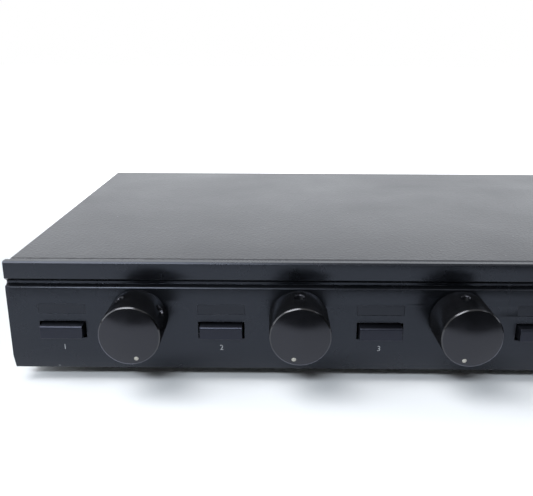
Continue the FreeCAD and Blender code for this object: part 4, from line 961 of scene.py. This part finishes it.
# Wire radius, and the length that one turn takes up.
WIRE_RADIUS, COIL_PITCH = 0.0002, 0.0011
coil_tree, coil_in, coil_out = node_group("wound_spring", "GeometryNodeTree", {
    "Turns": (NUMBER, 5.0), "Coil Radius": (NUMBER, 0.0021), "Length": (NUMBER, 0.0055),
    "Wire Radius": (NUMBER, WIRE_RADIUS), "Finish": ("NodeSocketMaterial", None)},
    {"Geometry": ("NodeSocketGeometry", None)})
winding = put(coil_tree, "GeometryNodeCurveSpiral", {
    "Resolution": 32, "Rotations": coil_in["Turns"], "Start Radius": coil_in["Coil Radius"],
    "End Radius": coil_in["Coil Radius"], "Height": coil_in["Length"]})
wire_section = put(coil_tree, "GeometryNodeCurvePrimitiveCircle", {
    "Resolution": 10, "Radius": coil_in["Wire Radius"]})
wound = put(coil_tree, "GeometryNodeCurveToMesh", {
    "Curve": winding.outputs[0], "Profile Curve": wire_section.outputs[0], "Fill Caps": True})
end_tree(coil_tree, wound.outputs[0], coil_in["Finish"], coil_out)

# A spring ends against the switch.
for zone in range(1, 7):
    dress(f"switch_plunger_{zone}", plunger_white)
    low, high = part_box(f"return_spring_{zone}")
    coil_axis = (low + high) / 2
    length = high.y - low.y - 2 * WIRE_RADIUS
    spring_start = new_object("spring_start", bpy.data.meshes.new("spring_start"))
    coil_mesh = grown(spring_start, coil_tree, f"wound_spring_{zone}", Finish=spring_steel,
                      **{"Turns": length / COIL_PITCH, "Length": length,
                         "Coil Radius": (high.x - low.x) / 2 - WIRE_RADIUS,
                         "Wire Radius": WIRE_RADIUS})
    bpy.data.objects.remove(spring_start)
    coil_mesh.transform(Matrix.Translation((coil_axis.x, high.y - WIRE_RADIUS, coil_axis.z))
                        @ face_forward)
    outward(coil_mesh, 50)
    coil = fit(new_object(f"wound_spring_{zone}", coil_mesh), "case", "spring_steel",
               f"return_spring_{zone}")
    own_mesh(coil)

# ------------------------------------------------------------ circuit boards
# Two glass-epoxy boards with a green solder mask, one under the switches and selectors and
# one under the transformers, stand on plated hexagonal pillars.
solder_mask, tree = blank_material("green_solder_mask")
tracks = put(tree, "ShaderNodeTexBrick", {
    "Vector": object_coords(tree), "Color1": (1, 1, 1, 1), "Color2": (0.6, 0.6, 0.6, 1),
    "Mortar": (0, 0, 0, 1), "Scale": 60.0, "Mortar Size": 0.03})
figured(solder_mask, tracks.outputs["Color"], tracks.outputs["Fac"],
        ((0.012, 0.09, 0.04), (0.022, 0.15, 0.065)), (0.22, 0.34), 40.0, 0.00002)
dress("control_board", solder_mask)
dress("main_board", solder_mask)
dress("board_standoffs", nickel)
dress("board_screws", plated)

# ------------------------------------------------------------ step-down transformers
# Two rows of six small transformers, each a stack of varnished steel laminations with a
# winding of lacquered copper wire on a moulded bobbin.
laminations, tree = blank_material("varnished_laminations")
sheets = put(tree, "ShaderNodeTexWave", {
    "Vector": object_coords(tree), "Scale": 330.0, "Distortion": 0.4}, bands_direction="Y")
figured(laminations, sheets.outputs["Color"], sheets.outputs["Fac"],
        ((0.05, 0.045, 0.04), (0.16, 0.15, 0.14)), (0.35, 0.55), 60.0, 0.00006, metallic=0.5)
dress("transformer_cores", laminations)

copper, tree = blank_material("lacquered_copper_wire")
wire_turns = put(tree, "ShaderNodeTexWave", {
    "Vector": object_coords(tree), "Scale": 520.0, "Distortion": 0.6}, bands_direction="Z")
figured(copper, wire_turns.outputs["Color"], wire_turns.outputs["Fac"],
        ((0.20, 0.045, 0.015), (0.62, 0.22, 0.09)), (0.24, 0.4), 80.0, 0.0001, metallic=0.8)
dress("transformer_windings", copper)

for pattern in (knob_mesh, dot_mesh):
    bpy.data.meshes.remove(pattern)
